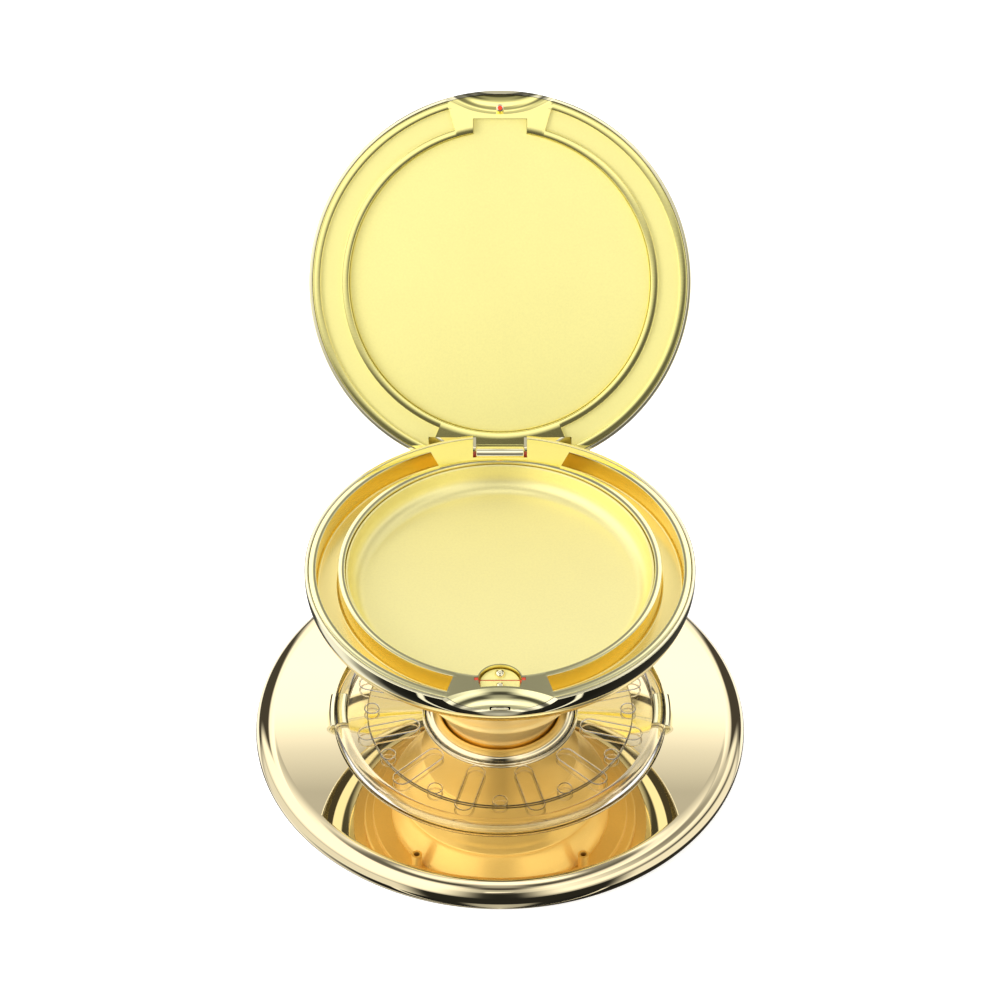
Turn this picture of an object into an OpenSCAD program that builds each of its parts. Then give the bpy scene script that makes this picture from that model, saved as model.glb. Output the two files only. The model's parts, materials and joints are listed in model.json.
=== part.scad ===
// Round compact on a collapsible stem, which stands on a magnetic base disc.
// Origin: centre of the resting face. +Z up, hinge at +Y, catch at -Y.

/* [Base disc] */
// Radius of the base disc at its widest
disc_r = 29; // [26:0.5:40]
// Height of the flat top of the base disc
disc_top = 4.0; // [4:0.1:6]
// Radius of the rounded upper edge
disc_round = 2.3; // [1.5:0.1:2.5]
// Radius of the rounded lower edge
disc_under_round = 1.4; // [0.8:0.1:1.5]
// Wall of the base cover
cover_wall = 0.8; // [0.6:0.1:1]
// Thickness of the grip pad under the base
pad_t = 0.5; // [0.4:0.1:0.8]
// How far the grip pad stands below the floor plate
pad_proud = 0.2; // [0.1:0.05:0.3]
// Thickness of the floor plate
floor_t = 1.0; // [0.8:0.1:1.2]
// Width of the rim of the floor plate round the grip pad
pad_rim = 1.0; // [0.8:0.1:2]
// Number of arc magnets in the ring
magnet_n = 16; // [8:2:20]
// Outer radius of the magnet ring
magnet_ro = 25.5; // [22:0.5:26]
// Radial width of the magnets
magnet_w = 4.5; // [3:0.5:6]
// Gap between neighbouring magnets
magnet_gap = 0.4; // [0.2:0.1:1]
// Thickness of the steel ring above the magnets
steel_t = 0.5; // [0.3:0.1:0.6]

/* [Clear platform] */
// Outer radius of the clear platform
plat_r = 19.85; // [18:0.1:22]
// Thickness of the flat of the clear platform
plat_t = 0.8; // [0.6:0.1:1.2]
// Radius of the half-round rim of the clear platform
plat_rim = 0.92; // [0.7:0.01:1]
// Number of raised petals on the clear platform
petal_n = 12; // [6:1:16]
// Half width of a raised petal
petal_half = 1.05; // [0.8:0.05:1.3]
// Radius of a raised circle between two petals
dot_r = 0.9; // [0.5:0.05:1]
// Width of a raised line
line_w = 0.16; // [0.1:0.02:0.3]
// Height of a raised line
line_h = 0.12; // [0.05:0.01:0.3]
// How far a side clip stands out of the platform
clip_out = 0.5; // [0.3:0.1:0.8]
// Length of a side clip
clip_len = 5.6; // [4:0.2:8]

/* [Stem] */
// Radius of the neck under the bellows
neck_r = 6.9; // [6:0.1:8]
// Height of the top of the neck
neck_top = 5.5; // [5.3:0.1:6.2]
// Wall of the neck
neck_wall = 1.2; // [1:0.1:1.6]
// Thickness of the closed bottom of the neck
neck_floor = 0.6; // [0.4:0.1:0.8]
// Width of the collar ring round the neck
collar_w = 2.0; // [1.4:0.1:2]
// Gap between the collar ring and the neck
collar_gap = 0.05; // [0.03:0.01:0.1]
// Free height of the bellows
bellows_h = 15.4; // [15:0.2:20]
// Wall of the bellows
bellows_wall = 0.7; // [0.5:0.1:0.9]
// Radius of the bellows at the upper fold
bellows_fold_r = 12.4; // [11:0.1:12.6]
// Travel of the stem from extended to collapsed
stem_travel = 12; // [8:0.5:12]

/* [Top plate] */
// Radius of the top plate
plate_r = 16.6; // [15:0.1:17.5]
// Radius of the step under the top plate
plate_step_r = 15.5; // [14.9:0.1:16]
// Thickness of the top plate
plate_t = 1.2; // [1:0.1:1.6]
// Height of the step under the top plate
plate_step = 0.6; // [0.4:0.1:0.8]
// Radius at which the tubular bosses stand
boss_at = 14.16; // [14:0.02:14.4]
// Radius of a tubular boss
boss_r = 0.65; // [0.5:0.05:0.7]
// Wall of a tubular boss
boss_wall = 0.3; // [0.2:0.05:0.35]
// Length of a tubular boss
boss_len = 2.7; // [1.5:0.1:3]
// Radius of the bayonet stem
bayonet_r = 4.0; // [3.5:0.1:4.2]
// Radius that the bayonet lugs reach
lug_r = 5.6; // [5.2:0.1:5.8]
// Width of a bayonet lug
lug_w = 3.0; // [2:0.1:3.4]
// Thickness of a bayonet lug
lug_t = 1.1; // [0.9:0.1:1.3]
// Running clearance of the bayonet
bayonet_gap = 0.2; // [0.1:0.05:0.3]
// Gap between the top plate and the compact
twist_gap = 0.2; // [0.15:0.05:0.3]

/* [Compact base] */
// Outer radius of the compact
body_r = 22.64; // [22.6:0.02:26]
// Height of the compact base, from its underside to its rim
body_h = 5.0; // [5:0.1:7]
// Radius of the curve from the side wall to the underside
body_round = 4.4; // [2:0.1:4.5]
// Thickness of the shell at its edge
edge_t = 0.4; // [0.35:0.05:0.5]
// Thickness of the floor of the shell
shell_floor = 0.8; // [0.7:0.1:1]
// Radius of the bearing disc under the compact
bearing_r = 17.95; // [17.6:0.05:18.5]
// Thickness of the bearing disc
bearing_t = 0.25; // [0.2:0.05:0.3]
// Radius of the powder pan
pan_r = 17.9; // [16:0.1:17.9]
// Wall of the powder pan
pan_wall = 0.3; // [0.25:0.05:0.4]
// Radius of the fillet inside the powder pan
pan_fillet = 1.9; // [0.8:0.1:2]
// Depth of the rim of the pan below the rim of the compact
pan_drop = 0.25; // [0.1:0.05:0.4]
// Thickness of the tray under the pan
tray_floor = 0.5; // [0.4:0.1:0.7]
// Inner radius of the side channels
chan_ri = 18.75; // [18.6:0.05:19.4]
// Outer radius of the side channels
chan_ro = 21.3; // [20.6:0.1:21.3]
// Depth of the side channels of the base
chan_depth = 2.6; // [1:0.1:2.8]
// Angle from the catch to the start of a channel
chan_front = 16.5; // [14:0.5:20]
// Angle from the hinge to the end of a channel
chan_back = 22.7; // [20:0.1:30]

/* [Lid] */
// Angle that the lid is open
open_angle = 128.3; // [100:0.1:130]
// Height of the lid, from its rim to the crown
lid_h = 4.0; // [3.6:0.1:5]
// Gap between the rims when the lid is closed
lid_gap = 0.15; // [0.1:0.05:0.3]
// Wall of the lid
lid_wall = 0.8; // [0.7:0.1:1]
// Radius of the domed edge of the lid
lid_edge_round = 2.6; // [2:0.1:3]
// Thickness of the frame of the lid
frame_t = 2.3; // [2.1:0.1:2.4]
// Depth of the channels of the lid
lid_chan_depth = 0.5; // [0.3:0.1:0.8]
// Radius of the recess for the mirror seat
seat_r = 17.9; // [16:0.1:17.9]
// Depth of the recess down to the mirror seat
seat_drop = 0.9; // [0.7:0.1:1.2]
// Thickness of the mirror seat
seat_t = 0.6; // [0.4:0.1:0.8]
// Width of the tab of the mirror seat
tab_w = 6.4; // [5:0.1:8]
// Distance from the centre to the end of the tab
tab_at = 19.35; // [19.2:0.05:19.4]

/* [Hinge] */
// Distance from the centre to the hinge axis
hinge_y = 20.5; // [20.4:0.05:21]
// Depth of the hinge axis below the rim of the base
hinge_drop = 1.25; // [1.2:0.05:1.4]
// Radius of the hinge knuckle
knuckle_r = 1.1; // [1:0.05:1.15]
// Width of the hinge knuckle
knuckle_w = 5.7; // [4.5:0.1:7]
// Gap at each end of the hinge knuckle
knuckle_gap = 0.35; // [0.2:0.05:0.5]
// Thickness of the arm of the hinge leaf
arm_t = 0.9; // [0.7:0.05:1]
// How far the arm of the hinge leaf goes into the lid
arm_in = 0.8; // [0.5:0.05:0.9]
// Radius of the hinge pin
pin_r = 0.5; // [0.4:0.05:0.55]
// Length of the hinge pin
pin_len = 10; // [9:0.5:12]
// Running clearance of the pins
pin_gap = 0.03; // [0.02:0.01:0.06]

/* [Catch] */
// Width of the thumb scoop at the rim
scoop_w = 13.2; // [10:0.2:14]
// How far the thumb scoop reaches in from its corners
scoop_reach = 1.8; // [1.4:0.1:2.2]
// Depth of the thumb scoop at the outer wall
scoop_drop = 1.25; // [1:0.05:1.4]
// Radius of the pocket of the catch disc
catch_r = 2.45; // [2.2:0.05:2.6]
// Distance from the centre to the middle of the catch pocket
catch_at = 18.6; // [18.5:0.05:18.8]
// Distance from the middle of the catch pocket back to the catch pin
catch_back = 0.4; // [0.3:0.05:0.5]
// Thickness of the catch disc
catch_t = 0.5; // [0.48:0.01:0.6]
// Depth of the catch disc below the rim
catch_sunk = 0.45; // [0.4:0.05:0.5]
// Wall round the catch pocket
catch_wall = 0.3; // [0.25:0.05:0.4]
// Radius of the catch pin
catch_pin_r = 0.2; // [0.15:0.01:0.2]
// Length of the catch pin
catch_pin_len = 5.8; // [5.6:0.1:6.4]
// Width of the square ends of the catch pin
pin_end_w = 0.43; // [0.3:0.01:0.5]
// How far forward of the catch pin its square ends stand
pin_end_shift = 0.2; // [0:0.05:0.25]
// Width of the slit in the catch disc that shows the pin
slit_w = 0.14; // [0.1:0.02:0.2]
// Radius of the rear catch stud
stud_r = 0.6; // [0.4:0.05:0.6]
// Radius of the front catch stud
stud_front_r = 0.45; // [0.3:0.05:0.45]
// Distance from the middle of the catch pocket back to the rear stud
stud_back = 1.35; // [1.2:0.05:1.5]
// Distance from the middle of the catch pocket forward to the front stud
stud_fore = 0.5; // [0.4:0.05:0.6]
// Width of the catch button
button_w = 2.1; // [1.6:0.1:2.6]
// Length of the catch button
button_len = 1.3; // [1.1:0.1:1.5]
// Radius of the crown of the catch button
button_crown = 2.15; // [2.1:0.05:2.4]
// Height of the catch button
button_h = 0.45; // [0.4:0.05:0.5]
// Travel of the catch button
button_travel = 0.4; // [0.2:0.05:0.4]
// Clearance round the catch pieces
catch_gap = 0.12; // [0.1:0.02:0.2]
// Thickness of the leaf spring under the catch disc
spring_t = 0.1; // [0.08:0.01:0.15]
// Width of the hook of the lid
hook_w = 0.9; // [0.7:0.05:1.2]
// How far the hook reaches below the rim of the lid
hook_reach = 0.5; // [0.3:0.05:0.6]

/* [Hidden] */
$fn = 96;
eps = 0.01;
seat_gap = 0.05;

cover_under = disc_top - cover_wall;
widest_z = disc_top - disc_round;
floor_z = pad_proud;
floor_top = floor_z + floor_t;
cavity_r = disc_r - disc_under_round - 0.15;
pad_r = cavity_r - seat_gap - pad_rim;
magnet_ri = magnet_ro - magnet_w;
steel_z = cover_under - 0.1 - steel_t;
hub_flange_r = neck_r + 3;

bellows_z = neck_top;
step_z = bellows_z + bellows_h;
plate_z = step_z + plate_step;
plate_top = plate_z + plate_t;
body_z = plate_top + twist_gap;
rim_z = body_z + body_h;
collar_ri = neck_r + collar_gap;
collar_ro = collar_ri + collar_w;
plat_ri = collar_ro + 0.15;
rim_round_z = disc_top + 0.25;
clip_h = plat_t - 0.2;
petal_in = plat_ri + 1.9;
petal_out = plat_r - 2 * plat_rim - 1.7;
dot_at = (petal_in + petal_out) / 2 + 1.6;

lug_z = plate_z - bayonet_gap - lug_t;
socket_z = lug_z - bayonet_gap;
socket_r = lug_r + bayonet_gap;
socket_wall = 1.2;
plug_flange_r = 6.0;
plug_flange_t = 0.35;

shell_top = body_z + shell_floor;
cavity_round = body_round - shell_floor;
pan_z = shell_top + tray_floor;
pan_top = rim_z - pan_drop;

closed_rim = rim_z + lid_gap;
lid_top = closed_rim + lid_h;
hinge_z = rim_z - hinge_drop;
slot_w = knuckle_w + 2 * knuckle_gap;
slot_front = hinge_y - knuckle_r - 0.7;
slot_floor = hinge_z - 2.1;
arm_y = hinge_y - knuckle_r;
tongue_end = hinge_y + 0.1;
cheek_in = slot_front - 0.25;
cheek_half = 8.5;
cheek_h = frame_t + 0.3;

scoop_half = scoop_w / 2;
corner_y = sqrt(body_r * body_r - scoop_half * scoop_half);
scoop_arc = (scoop_half * scoop_half + scoop_reach * scoop_reach) / (2 * scoop_reach);
scoop_y = -(corner_y - scoop_reach) - scoop_arc;
scoop_in = -scoop_y - body_r;
scoop_span = scoop_arc - scoop_in;
scoop_bowl = (scoop_span * scoop_span + scoop_drop * scoop_drop) / (2 * scoop_drop);
lip_t = 0.3;
catch_top = rim_z - catch_sunk;
catch_pin_y = catch_back - catch_at;
catch_pin_z = catch_top - catch_pin_r - 0.04;
rock_room = 0.35;
pocket_z = catch_top - catch_t - rock_room;
boss_floor = 0.4;
button_z = rim_z - scoop_drop + 0.15 - button_h;
button_y = -body_r + 0.3;
hook_y = -(corner_y - scoop_reach) - 0.75;
hook_tip_t = 0.2;

GOLD = [0.93, 0.82, 0.55];
SATIN = [0.95, 0.87, 0.45];
RED = [0.75, 0.15, 0.05];

// ---------- helpers ----------

// A ring of rectangular section
module ring(ro, ri, z, h) {
    translate([0, 0, z]) difference() {
        cylinder(r = ro, h = h);
        translate([0, 0, -eps]) cylinder(r = ri, h = h + 2 * eps);
    }
}

// A flat sector between two radii, centred on the angle a
module sector(ro, ri, z, h, a, spread) {
    translate([0, 0, z]) rotate([0, 0, a - spread / 2])
        rotate_extrude(angle = spread) translate([ri, 0]) square([ro - ri, h]);
}

// Half outline with a rounded lower corner: radius r, from z0 up to z1
module dish_2d(r, round, z0, z1) {
    translate([0, z0]) square([r - round, z1 - z0]);
    translate([0, z0 + round]) square([r, z1 - z0 - round]);
    intersection() {
        translate([r - round, z0 + round]) circle(r = round);
        translate([0, z0]) square([r, round]);
    }
}

// The space inside the base shell, smaller by gap all round
module body_cavity(gap) {
    rotate_extrude() dish_2d(body_r - edge_t - gap, cavity_round, shell_top, rim_z + 1);
}

// The two side channels, of the base or of the lid
module channels(z, h) {
    spread = 180 - chan_front - chan_back;
    middle = -90 + chan_front + spread / 2;
    for (s = [0, 1]) mirror([s, 0, 0]) sector(chan_ro, chan_ri, z, h, middle, spread);
}

// The concave thumb scoop, cut down from the plane z by sense -1 or up by 1
module scoop(z, sense) {
    translate([0, scoop_y, z]) mirror([0, 0, sense > 0 ? 1 : 0]) rotate_extrude() {
        intersection() {
            translate([scoop_in, scoop_bowl - scoop_drop]) circle(r = scoop_bowl);
            translate([scoop_in, -scoop_drop]) square([scoop_span, scoop_drop + eps]);
        }
        translate([0, -scoop_drop]) square([scoop_in + eps, scoop_drop + 2]);
        square([scoop_arc, 2]);
    }
}

// Puts a piece that is drawn on the closed lid where the open lid is
module lid_open() {
    translate([0, hinge_y, hinge_z]) rotate([-open_angle, 0, 0]) translate([0, -hinge_y, -hinge_z])
        children();
}

// A bar along X with its centre at y and z
module bar_x(r, len, y, z) {
    translate([0, y, z]) rotate([0, 90, 0]) cylinder(r = r, h = len, center = true);
}

// ---------- base disc ----------

module grip_pad() {
    color([0.25, 0.24, 0.22]) difference() {
        cylinder(r = pad_r, h = pad_t);
        for (a = [0 : 45 : 315]) rotate([0, 0, a]) translate([pad_r * 0.75, 0, -eps])
            cylinder(r = 0.8, h = 0.15 + eps);
    }
}

module base_floor() {
    color([0.8, 0.72, 0.5]) difference() {
        translate([0, 0, floor_z]) cylinder(r = cavity_r - seat_gap, h = floor_t);
        translate([0, 0, -eps]) cylinder(r = pad_r + seat_gap, h = pad_t + eps);
    }
}

module magnet_ring() {
    pitch = 360 / magnet_n;
    spread = pitch - magnet_gap / magnet_ri * 180 / PI;
    color([0.55, 0.55, 0.58]) for (i = [0 : magnet_n - 1])
        sector(magnet_ro, magnet_ri, floor_top, steel_z - floor_top, i * pitch, spread);
}

module steel_ring() {
    color([0.45, 0.46, 0.48]) ring(magnet_ro, magnet_ri, steel_z, steel_t);
}

module base_cover() {
    color(GOLD) difference() {
        rotate_extrude() {
            translate([0, floor_z]) square([disc_r - disc_under_round, widest_z - floor_z]);
            translate([0, widest_z - eps]) square([disc_r - disc_round, disc_round + eps]);
            intersection() {
                translate([disc_r - disc_round, widest_z]) circle(r = disc_round);
                translate([0, widest_z - eps]) square([disc_r, disc_round + eps]);
            }
            intersection() {
                translate([disc_r - disc_under_round, widest_z]) circle(r = disc_under_round);
                translate([0, floor_z]) square([disc_r, widest_z - floor_z]);
            }
        }
        translate([0, 0, -eps]) cylinder(r = cavity_r, h = cover_under + eps);
        translate([0, 0, -eps]) cylinder(r = neck_r + seat_gap, h = disc_top + 1);
    }
}

// ---------- clear platform ----------

module petal(r_in, r_out, half) {
    difference() {
        union() {
            translate([r_in, 0]) circle(r = half);
            translate([r_out, 0]) circle(r = half);
            translate([r_in, -half]) square([r_out - r_in, 2 * half]);
        }
        translate([r_in, 0]) circle(r = half - line_w);
        translate([r_out, 0]) circle(r = half - line_w);
        translate([r_in, -half + line_w]) square([r_out - r_in, 2 * (half - line_w)]);
    }
}

module clear_platform() {
    color([0.95, 0.95, 0.9, 0.45]) {
        difference() {
            rotate_extrude() difference() {
                union() {
                    translate([0, disc_top]) square([plat_r - plat_rim, plat_t]);
                    translate([plat_r - 2 * plat_rim, disc_top])
                        square([2 * plat_rim, rim_round_z - disc_top]);
                    intersection() {
                        translate([plat_r - plat_rim, rim_round_z]) circle(r = plat_rim);
                        translate([0, rim_round_z]) square([plat_r + 1, plat_rim]);
                    }
                }
                translate([0, disc_top - eps]) square([plat_ri, plat_t + 1]);
            }
            for (s = [-1, 1]) translate([s * plat_r, 0, disc_top])
                cube([4.2, clip_len + 2 * seat_gap, 2 * (clip_h + seat_gap)], center = true);
        }
        translate([0, 0, disc_top + plat_t - eps]) linear_extrude(line_h + eps)
            for (i = [0 : petal_n - 1]) rotate([0, 0, (i + 0.5) * 360 / petal_n]) {
                petal(petal_in, petal_out, petal_half);
                rotate([0, 0, 180 / petal_n]) translate([dot_at, 0]) difference() {
                    circle(r = dot_r);
                    circle(r = dot_r - line_w);
                }
            }
    }
}

// A lug that holds the rim of the platform down, on the side s
module clip(s) {
    reach = plat_r + clip_out;
    color(GOLD) intersection() {
        translate([s * (reach - 1.2), 0, disc_top + clip_h / 2])
            cube([2.4, clip_len, clip_h], center = true);
        translate([0, 0, disc_top]) rotate_extrude() {
            translate([0, -eps]) square([reach - clip_h / 2, clip_h + 2 * eps]);
            translate([reach - clip_h / 2, clip_h / 2]) circle(r = clip_h / 2);
        }
    }
}

module left_clip() { clip(-1); }

module right_clip() { clip(1); }

// ---------- stem ----------

module collar_ring() {
    round = collar_w / 2;
    color(GOLD) rotate_extrude() {
        translate([collar_ri, disc_top]) square([collar_w, neck_top - round - disc_top]);
        intersection() {
            translate([collar_ri + round, neck_top - round]) circle(r = round - eps);
            translate([collar_ri, neck_top - round - eps]) square([collar_w, collar_w]);
        }
    }
}

module neck_hub() {
    color(SATIN) difference() {
        union() {
            translate([0, 0, floor_top]) cylinder(r = neck_r, h = neck_top - floor_top);
            translate([0, 0, floor_top])
                cylinder(r = hub_flange_r, h = cover_under - floor_top - seat_gap);
        }
        translate([0, 0, floor_top + neck_floor]) cylinder(r = neck_r - neck_wall, h = neck_top);
    }
}

// Outline of the bellows: radius and share of the free height, bottom to top
function bellows_outline() = let (r0 = neck_r, r3 = bellows_fold_r) [
    [r0, 0], [r0 + 0.25, 0.06], [r0 + 1.2, 0.17], [r0 + 2.3, 0.27], [r0 + 2.7, 0.31],
    [r0 + 2.6, 0.35], [r0 + 3.4, 0.46], [r3 - 1, 0.58], [r3 - 0.3, 0.635], [r3, 0.67],
    [r3 - 0.25, 0.7], [r3 - 0.2, 0.76], [r3 + 0.3, 0.88], [r3 + 0.75, 0.96], [r3 + 0.8, 1]];

module bellows() {
    pts = bellows_outline();
    n = len(pts);
    outer = [for (p = pts) [p[0], bellows_z + p[1] * bellows_h]];
    // across the wall, square to the mean slope of its neighbours
    inner = [for (i = [n - 1 : -1 : 0])
        let (a = outer[max(i - 1, 0)], b = outer[min(i + 1, n - 1)], d = b - a, l = norm(d))
        (i == 0 || i == n - 1) ? [outer[i][0] - bellows_wall, outer[i][1]]
            : outer[i] + [-d[1], d[0]] / l * bellows_wall];
    color([0.9, 0.76, 0.4]) rotate_extrude() polygon(concat(outer, inner));
}

// ---------- top plate and bayonet ----------

module top_plate() {
    color(SATIN) difference() {
        union() {
            translate([0, 0, plate_z]) cylinder(r = plate_r, h = plate_t);
            translate([0, 0, step_z]) cylinder(r = plate_step_r, h = plate_step + eps);
            translate([0, 0, socket_z - socket_wall / 2])
                cylinder(r = socket_r + socket_wall, h = plate_z - socket_z + socket_wall / 2);
            for (a = [45 : 90 : 315]) rotate([0, 0, a]) translate([boss_at, 0, step_z - boss_len])
                cylinder(r = boss_r, h = boss_len + eps);
        }
        translate([0, 0, socket_z]) cylinder(r = socket_r, h = plate_z - socket_z);
        cylinder(r = bayonet_r + bayonet_gap, h = plate_top + 1);
        translate([0, 0, plate_z - eps]) intersection() {
            cylinder(r = socket_r, h = plate_t + 1);
            translate([-lug_w / 2 - bayonet_gap, -socket_r, 0])
                cube([lug_w + 2 * bayonet_gap, 2 * socket_r, plate_t + 1]);
        }
        for (a = [45 : 90 : 315]) rotate([0, 0, a])
            translate([boss_at, 0, step_z - boss_len - eps])
                cylinder(r = boss_r - boss_wall, h = boss_len);
    }
}

module bayonet_plug() {
    color(SATIN) {
        translate([0, 0, lug_z]) cylinder(r = bayonet_r, h = shell_top - lug_z + eps);
        translate([0, 0, shell_top]) cylinder(r = plug_flange_r, h = plug_flange_t);
        intersection() {
            translate([0, 0, lug_z]) cylinder(r = lug_r, h = lug_t);
            translate([-lug_r, -lug_w / 2, lug_z]) cube([2 * lug_r, lug_w, lug_t]);
        }
    }
}

// ---------- compact base ----------

module bearing_disc() {
    color(SATIN) ring(bearing_r, bayonet_r + seat_gap, body_z, bearing_t);
}

// The slot at the back that the hinge knuckle turns in
module hinge_slot() {
    translate([-slot_w / 2, slot_front, slot_floor]) cube([slot_w, body_r, body_h]);
}

module base_shell() {
    color(GOLD) difference() {
        rotate_extrude() dish_2d(body_r, body_round, body_z, rim_z);
        body_cavity(0);
        translate([0, 0, body_z - eps]) cylinder(r = bayonet_r + seat_gap, h = body_h);
        translate([0, 0, body_z - eps]) cylinder(r = bearing_r + seat_gap, h = bearing_t + eps);
        hinge_slot();
        scoop(rim_z, -1);
        button_window();
    }
}

// The window that the catch button slides in
module button_window() {
    w = button_w + 2 * catch_gap;
    translate([-w / 2, -body_r - 1, button_z - catch_gap])
        cube([w, 1 + body_r + button_y + button_len + button_travel + catch_gap,
            button_h + 2 * catch_gap]);
}

// A round body over the catch pocket, kept behind the lip of the scoop
module catch_well(r, z, h, lip) {
    difference() {
        translate([0, -catch_at, z]) cylinder(r = r, h = h);
        translate([0, scoop_y, z - 1]) cylinder(r = scoop_arc + lip, h = h + 2);
    }
}

module base_tray() {
    boss_z = pocket_z - boss_floor;
    color(SATIN) difference() {
        union() {
            difference() {
                intersection() {
                    body_cavity(seat_gap);
                    cylinder(r = body_r, h = rim_z);
                }
                translate([0, 0, pan_z]) cylinder(r = pan_r + seat_gap, h = body_h);
            }
            catch_well(catch_r + catch_wall, boss_z, rim_z - boss_z, 0);
        }
        channels(rim_z - chan_depth, chan_depth + 1);
        cylinder(r = plug_flange_r + seat_gap, h = shell_top + plug_flange_t + seat_gap);
        hinge_slot();
        bar_x(pin_r + pin_gap / 2, pin_len + 0.2, hinge_y, hinge_z);
        scoop(rim_z, -1);
        catch_well(catch_r, pocket_z, body_h, lip_t);
        catch_pin_body(0.01, 0.02, body_h);
        button_window();
    }
}

module powder_pan() {
    color(SATIN) difference() {
        translate([0, 0, pan_z]) cylinder(r = pan_r, h = pan_top - pan_z);
        rotate_extrude() dish_2d(pan_r - pan_wall, pan_fillet, pan_z + pan_wall, pan_top + 1);
        catch_well(catch_r + catch_wall + seat_gap, pocket_z - boss_floor - seat_gap, body_h, 0);
    }
}

// ---------- catch ----------

module catch_spring() {
    color([0.7, 0.7, 0.7]) translate([-0.6, -catch_at - 0.5, pocket_z]) cube([1.2, 2.4, spring_t]);
}

module catch_button() {
    color(GOLD) intersection() {
        translate([-button_w / 2, button_y, button_z]) cube([button_w, button_len, button_h]);
        translate([0, button_y + 0.6, rim_z - scoop_drop - 2]) sphere(r = button_crown);
    }
}

module catch_disc() {
    round = 0.12;
    r = catch_r - catch_gap;
    color(SATIN) difference() {
        translate([0, -catch_at, catch_top - catch_t]) rotate_extrude() {
            square([r - round, catch_t]);
            square([r, catch_t - round]);
            translate([r - round, catch_t - round]) circle(r = round);
        }
        translate([0, scoop_y, pocket_z]) cylinder(r = scoop_arc + lip_t + catch_gap, h = body_h);
        bar_x(catch_pin_r + pin_gap, 8, catch_pin_y, catch_pin_z);
        translate([-catch_r, catch_pin_y - slit_w / 2, catch_pin_z]) cube([2 * catch_r, slit_w, 1]);
    }
}

module stud(r, y) {
    difference() {
        translate([0, y, catch_top]) sphere(r = r);
        translate([-1, y - 1, catch_top - 2]) cube([2, 2, 2]);
        translate([0, scoop_y, pocket_z]) cylinder(r = scoop_arc + lip_t + catch_gap, h = body_h);
    }
}

module catch_studs() {
    color(GOLD) {
        stud(stud_r, stud_back - catch_at);
        stud(stud_front_r, -stud_fore - catch_at);
    }
}

// The catch pin with its square ends, wider by gap, its ends longer by tip and rising by top
module catch_pin_body(gap, tip, top) {
    r = catch_pin_r + gap;
    w = pin_end_w + 2 * gap;
    end_x = catch_r + gap;
    bar_x(r, catch_pin_len + 2 * tip, catch_pin_y, catch_pin_z);
    for (s = [0, 1]) mirror([s, 0, 0])
        translate([end_x, catch_pin_y - w / 2 - pin_end_shift, catch_pin_z - r])
            cube([catch_pin_len / 2 + tip - end_x, w, rim_z - 0.02 + top - catch_pin_z + r]);
}

module catch_pin() {
    color(RED) catch_pin_body(0, 0, 0);
}

// ---------- hinge ----------

module hinge_pin() {
    color(RED) bar_x(pin_r, pin_len, hinge_y, hinge_z);
}

module hinge_leaf() {
    color(GOLD) lid_open() difference() {
        union() {
            bar_x(knuckle_r, knuckle_w, hinge_y, hinge_z);
            translate([-knuckle_w / 2, arm_y, hinge_z])
                cube([knuckle_w, arm_t, closed_rim - hinge_z + arm_in]);
        }
        bar_x(pin_r + pin_gap, knuckle_w + 1, hinge_y, hinge_z);
    }
}

// ---------- lid ----------

// Half outline of the lid, with its domed edge, from z0 up to z1
module lid_2d(r, round, z0, z1) {
    translate([0, z0]) square([r - round, z1 - z0]);
    translate([0, z0]) square([r, z1 - z0 - round]);
    intersection() {
        translate([r - round, z1 - round]) circle(r = round);
        translate([0, z1 - round]) square([r, round]);
    }
}

// What the lid leaves free for the back of the base, round the tongue of its hinge leaf
module cheek_cut() {
    difference() {
        translate([-cheek_half, cheek_in, closed_rim - 1])
            cube([2 * cheek_half, body_r, 1 + cheek_h]);
        translate([-knuckle_w / 2, 0, closed_rim - 2])
            cube([knuckle_w, tongue_end, cheek_h + 4]);
    }
}

// The seat of the hinge leaf in the lid
module leaf_seat() {
    translate([-knuckle_w / 2 - seat_gap, arm_y - seat_gap, closed_rim - 1])
        cube([knuckle_w + 2 * seat_gap, arm_t + 2 * seat_gap, 1 + arm_in + seat_gap]);
}

// The space inside the lid shell, smaller by gap all round
module lid_cavity(gap) {
    rotate_extrude() lid_2d(body_r - edge_t - gap, lid_edge_round - lid_wall + edge_t,
        closed_rim - 1, lid_top - lid_wall - gap);
}

module lid_shell() {
    color(GOLD) lid_open() difference() {
        rotate_extrude() lid_2d(body_r, lid_edge_round, closed_rim, lid_top);
        lid_cavity(0);
        scoop(closed_rim, 1);
        cheek_cut();
    }
}

module seat_2d(gap) {
    circle(r = seat_r - gap);
    translate([-tab_w / 2 + gap, -tab_at + gap]) square([tab_w - 2 * gap, tab_at - gap]);
}

module lid_frame() {
    color(SATIN) lid_open() difference() {
        intersection() {
            lid_cavity(seat_gap);
            translate([0, 0, closed_rim]) cylinder(r = body_r, h = frame_t);
        }
        translate([0, 0, closed_rim - 1]) linear_extrude(seat_drop + seat_t + 1) seat_2d(0);
        channels(closed_rim - 1, lid_chan_depth + 1);
        scoop(closed_rim, 1);
        cheek_cut();
        leaf_seat();
    }
}

module mirror_seat() {
    color(SATIN) lid_open() translate([0, 0, closed_rim + seat_drop])
        linear_extrude(seat_t) seat_2d(seat_gap);
}

module lid_hook() {
    color(GOLD) lid_open() intersection() {
        translate([0, hook_y, closed_rim - hook_reach + hook_tip_t])
            cylinder(r = hook_w / 2, h = hook_reach + scoop_drop);
        union() {
            scoop(closed_rim, 1);
            translate([-1, hook_y - 1, closed_rim - 1]) cube([2, 2, 1 + eps]);
        }
    }
}

module hook_tip() {
    color(RED) lid_open() translate([0, hook_y, closed_rim - hook_reach])
        cylinder(r = hook_w / 2, h = hook_tip_t);
}

// ---------- all nodes ----------

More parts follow.
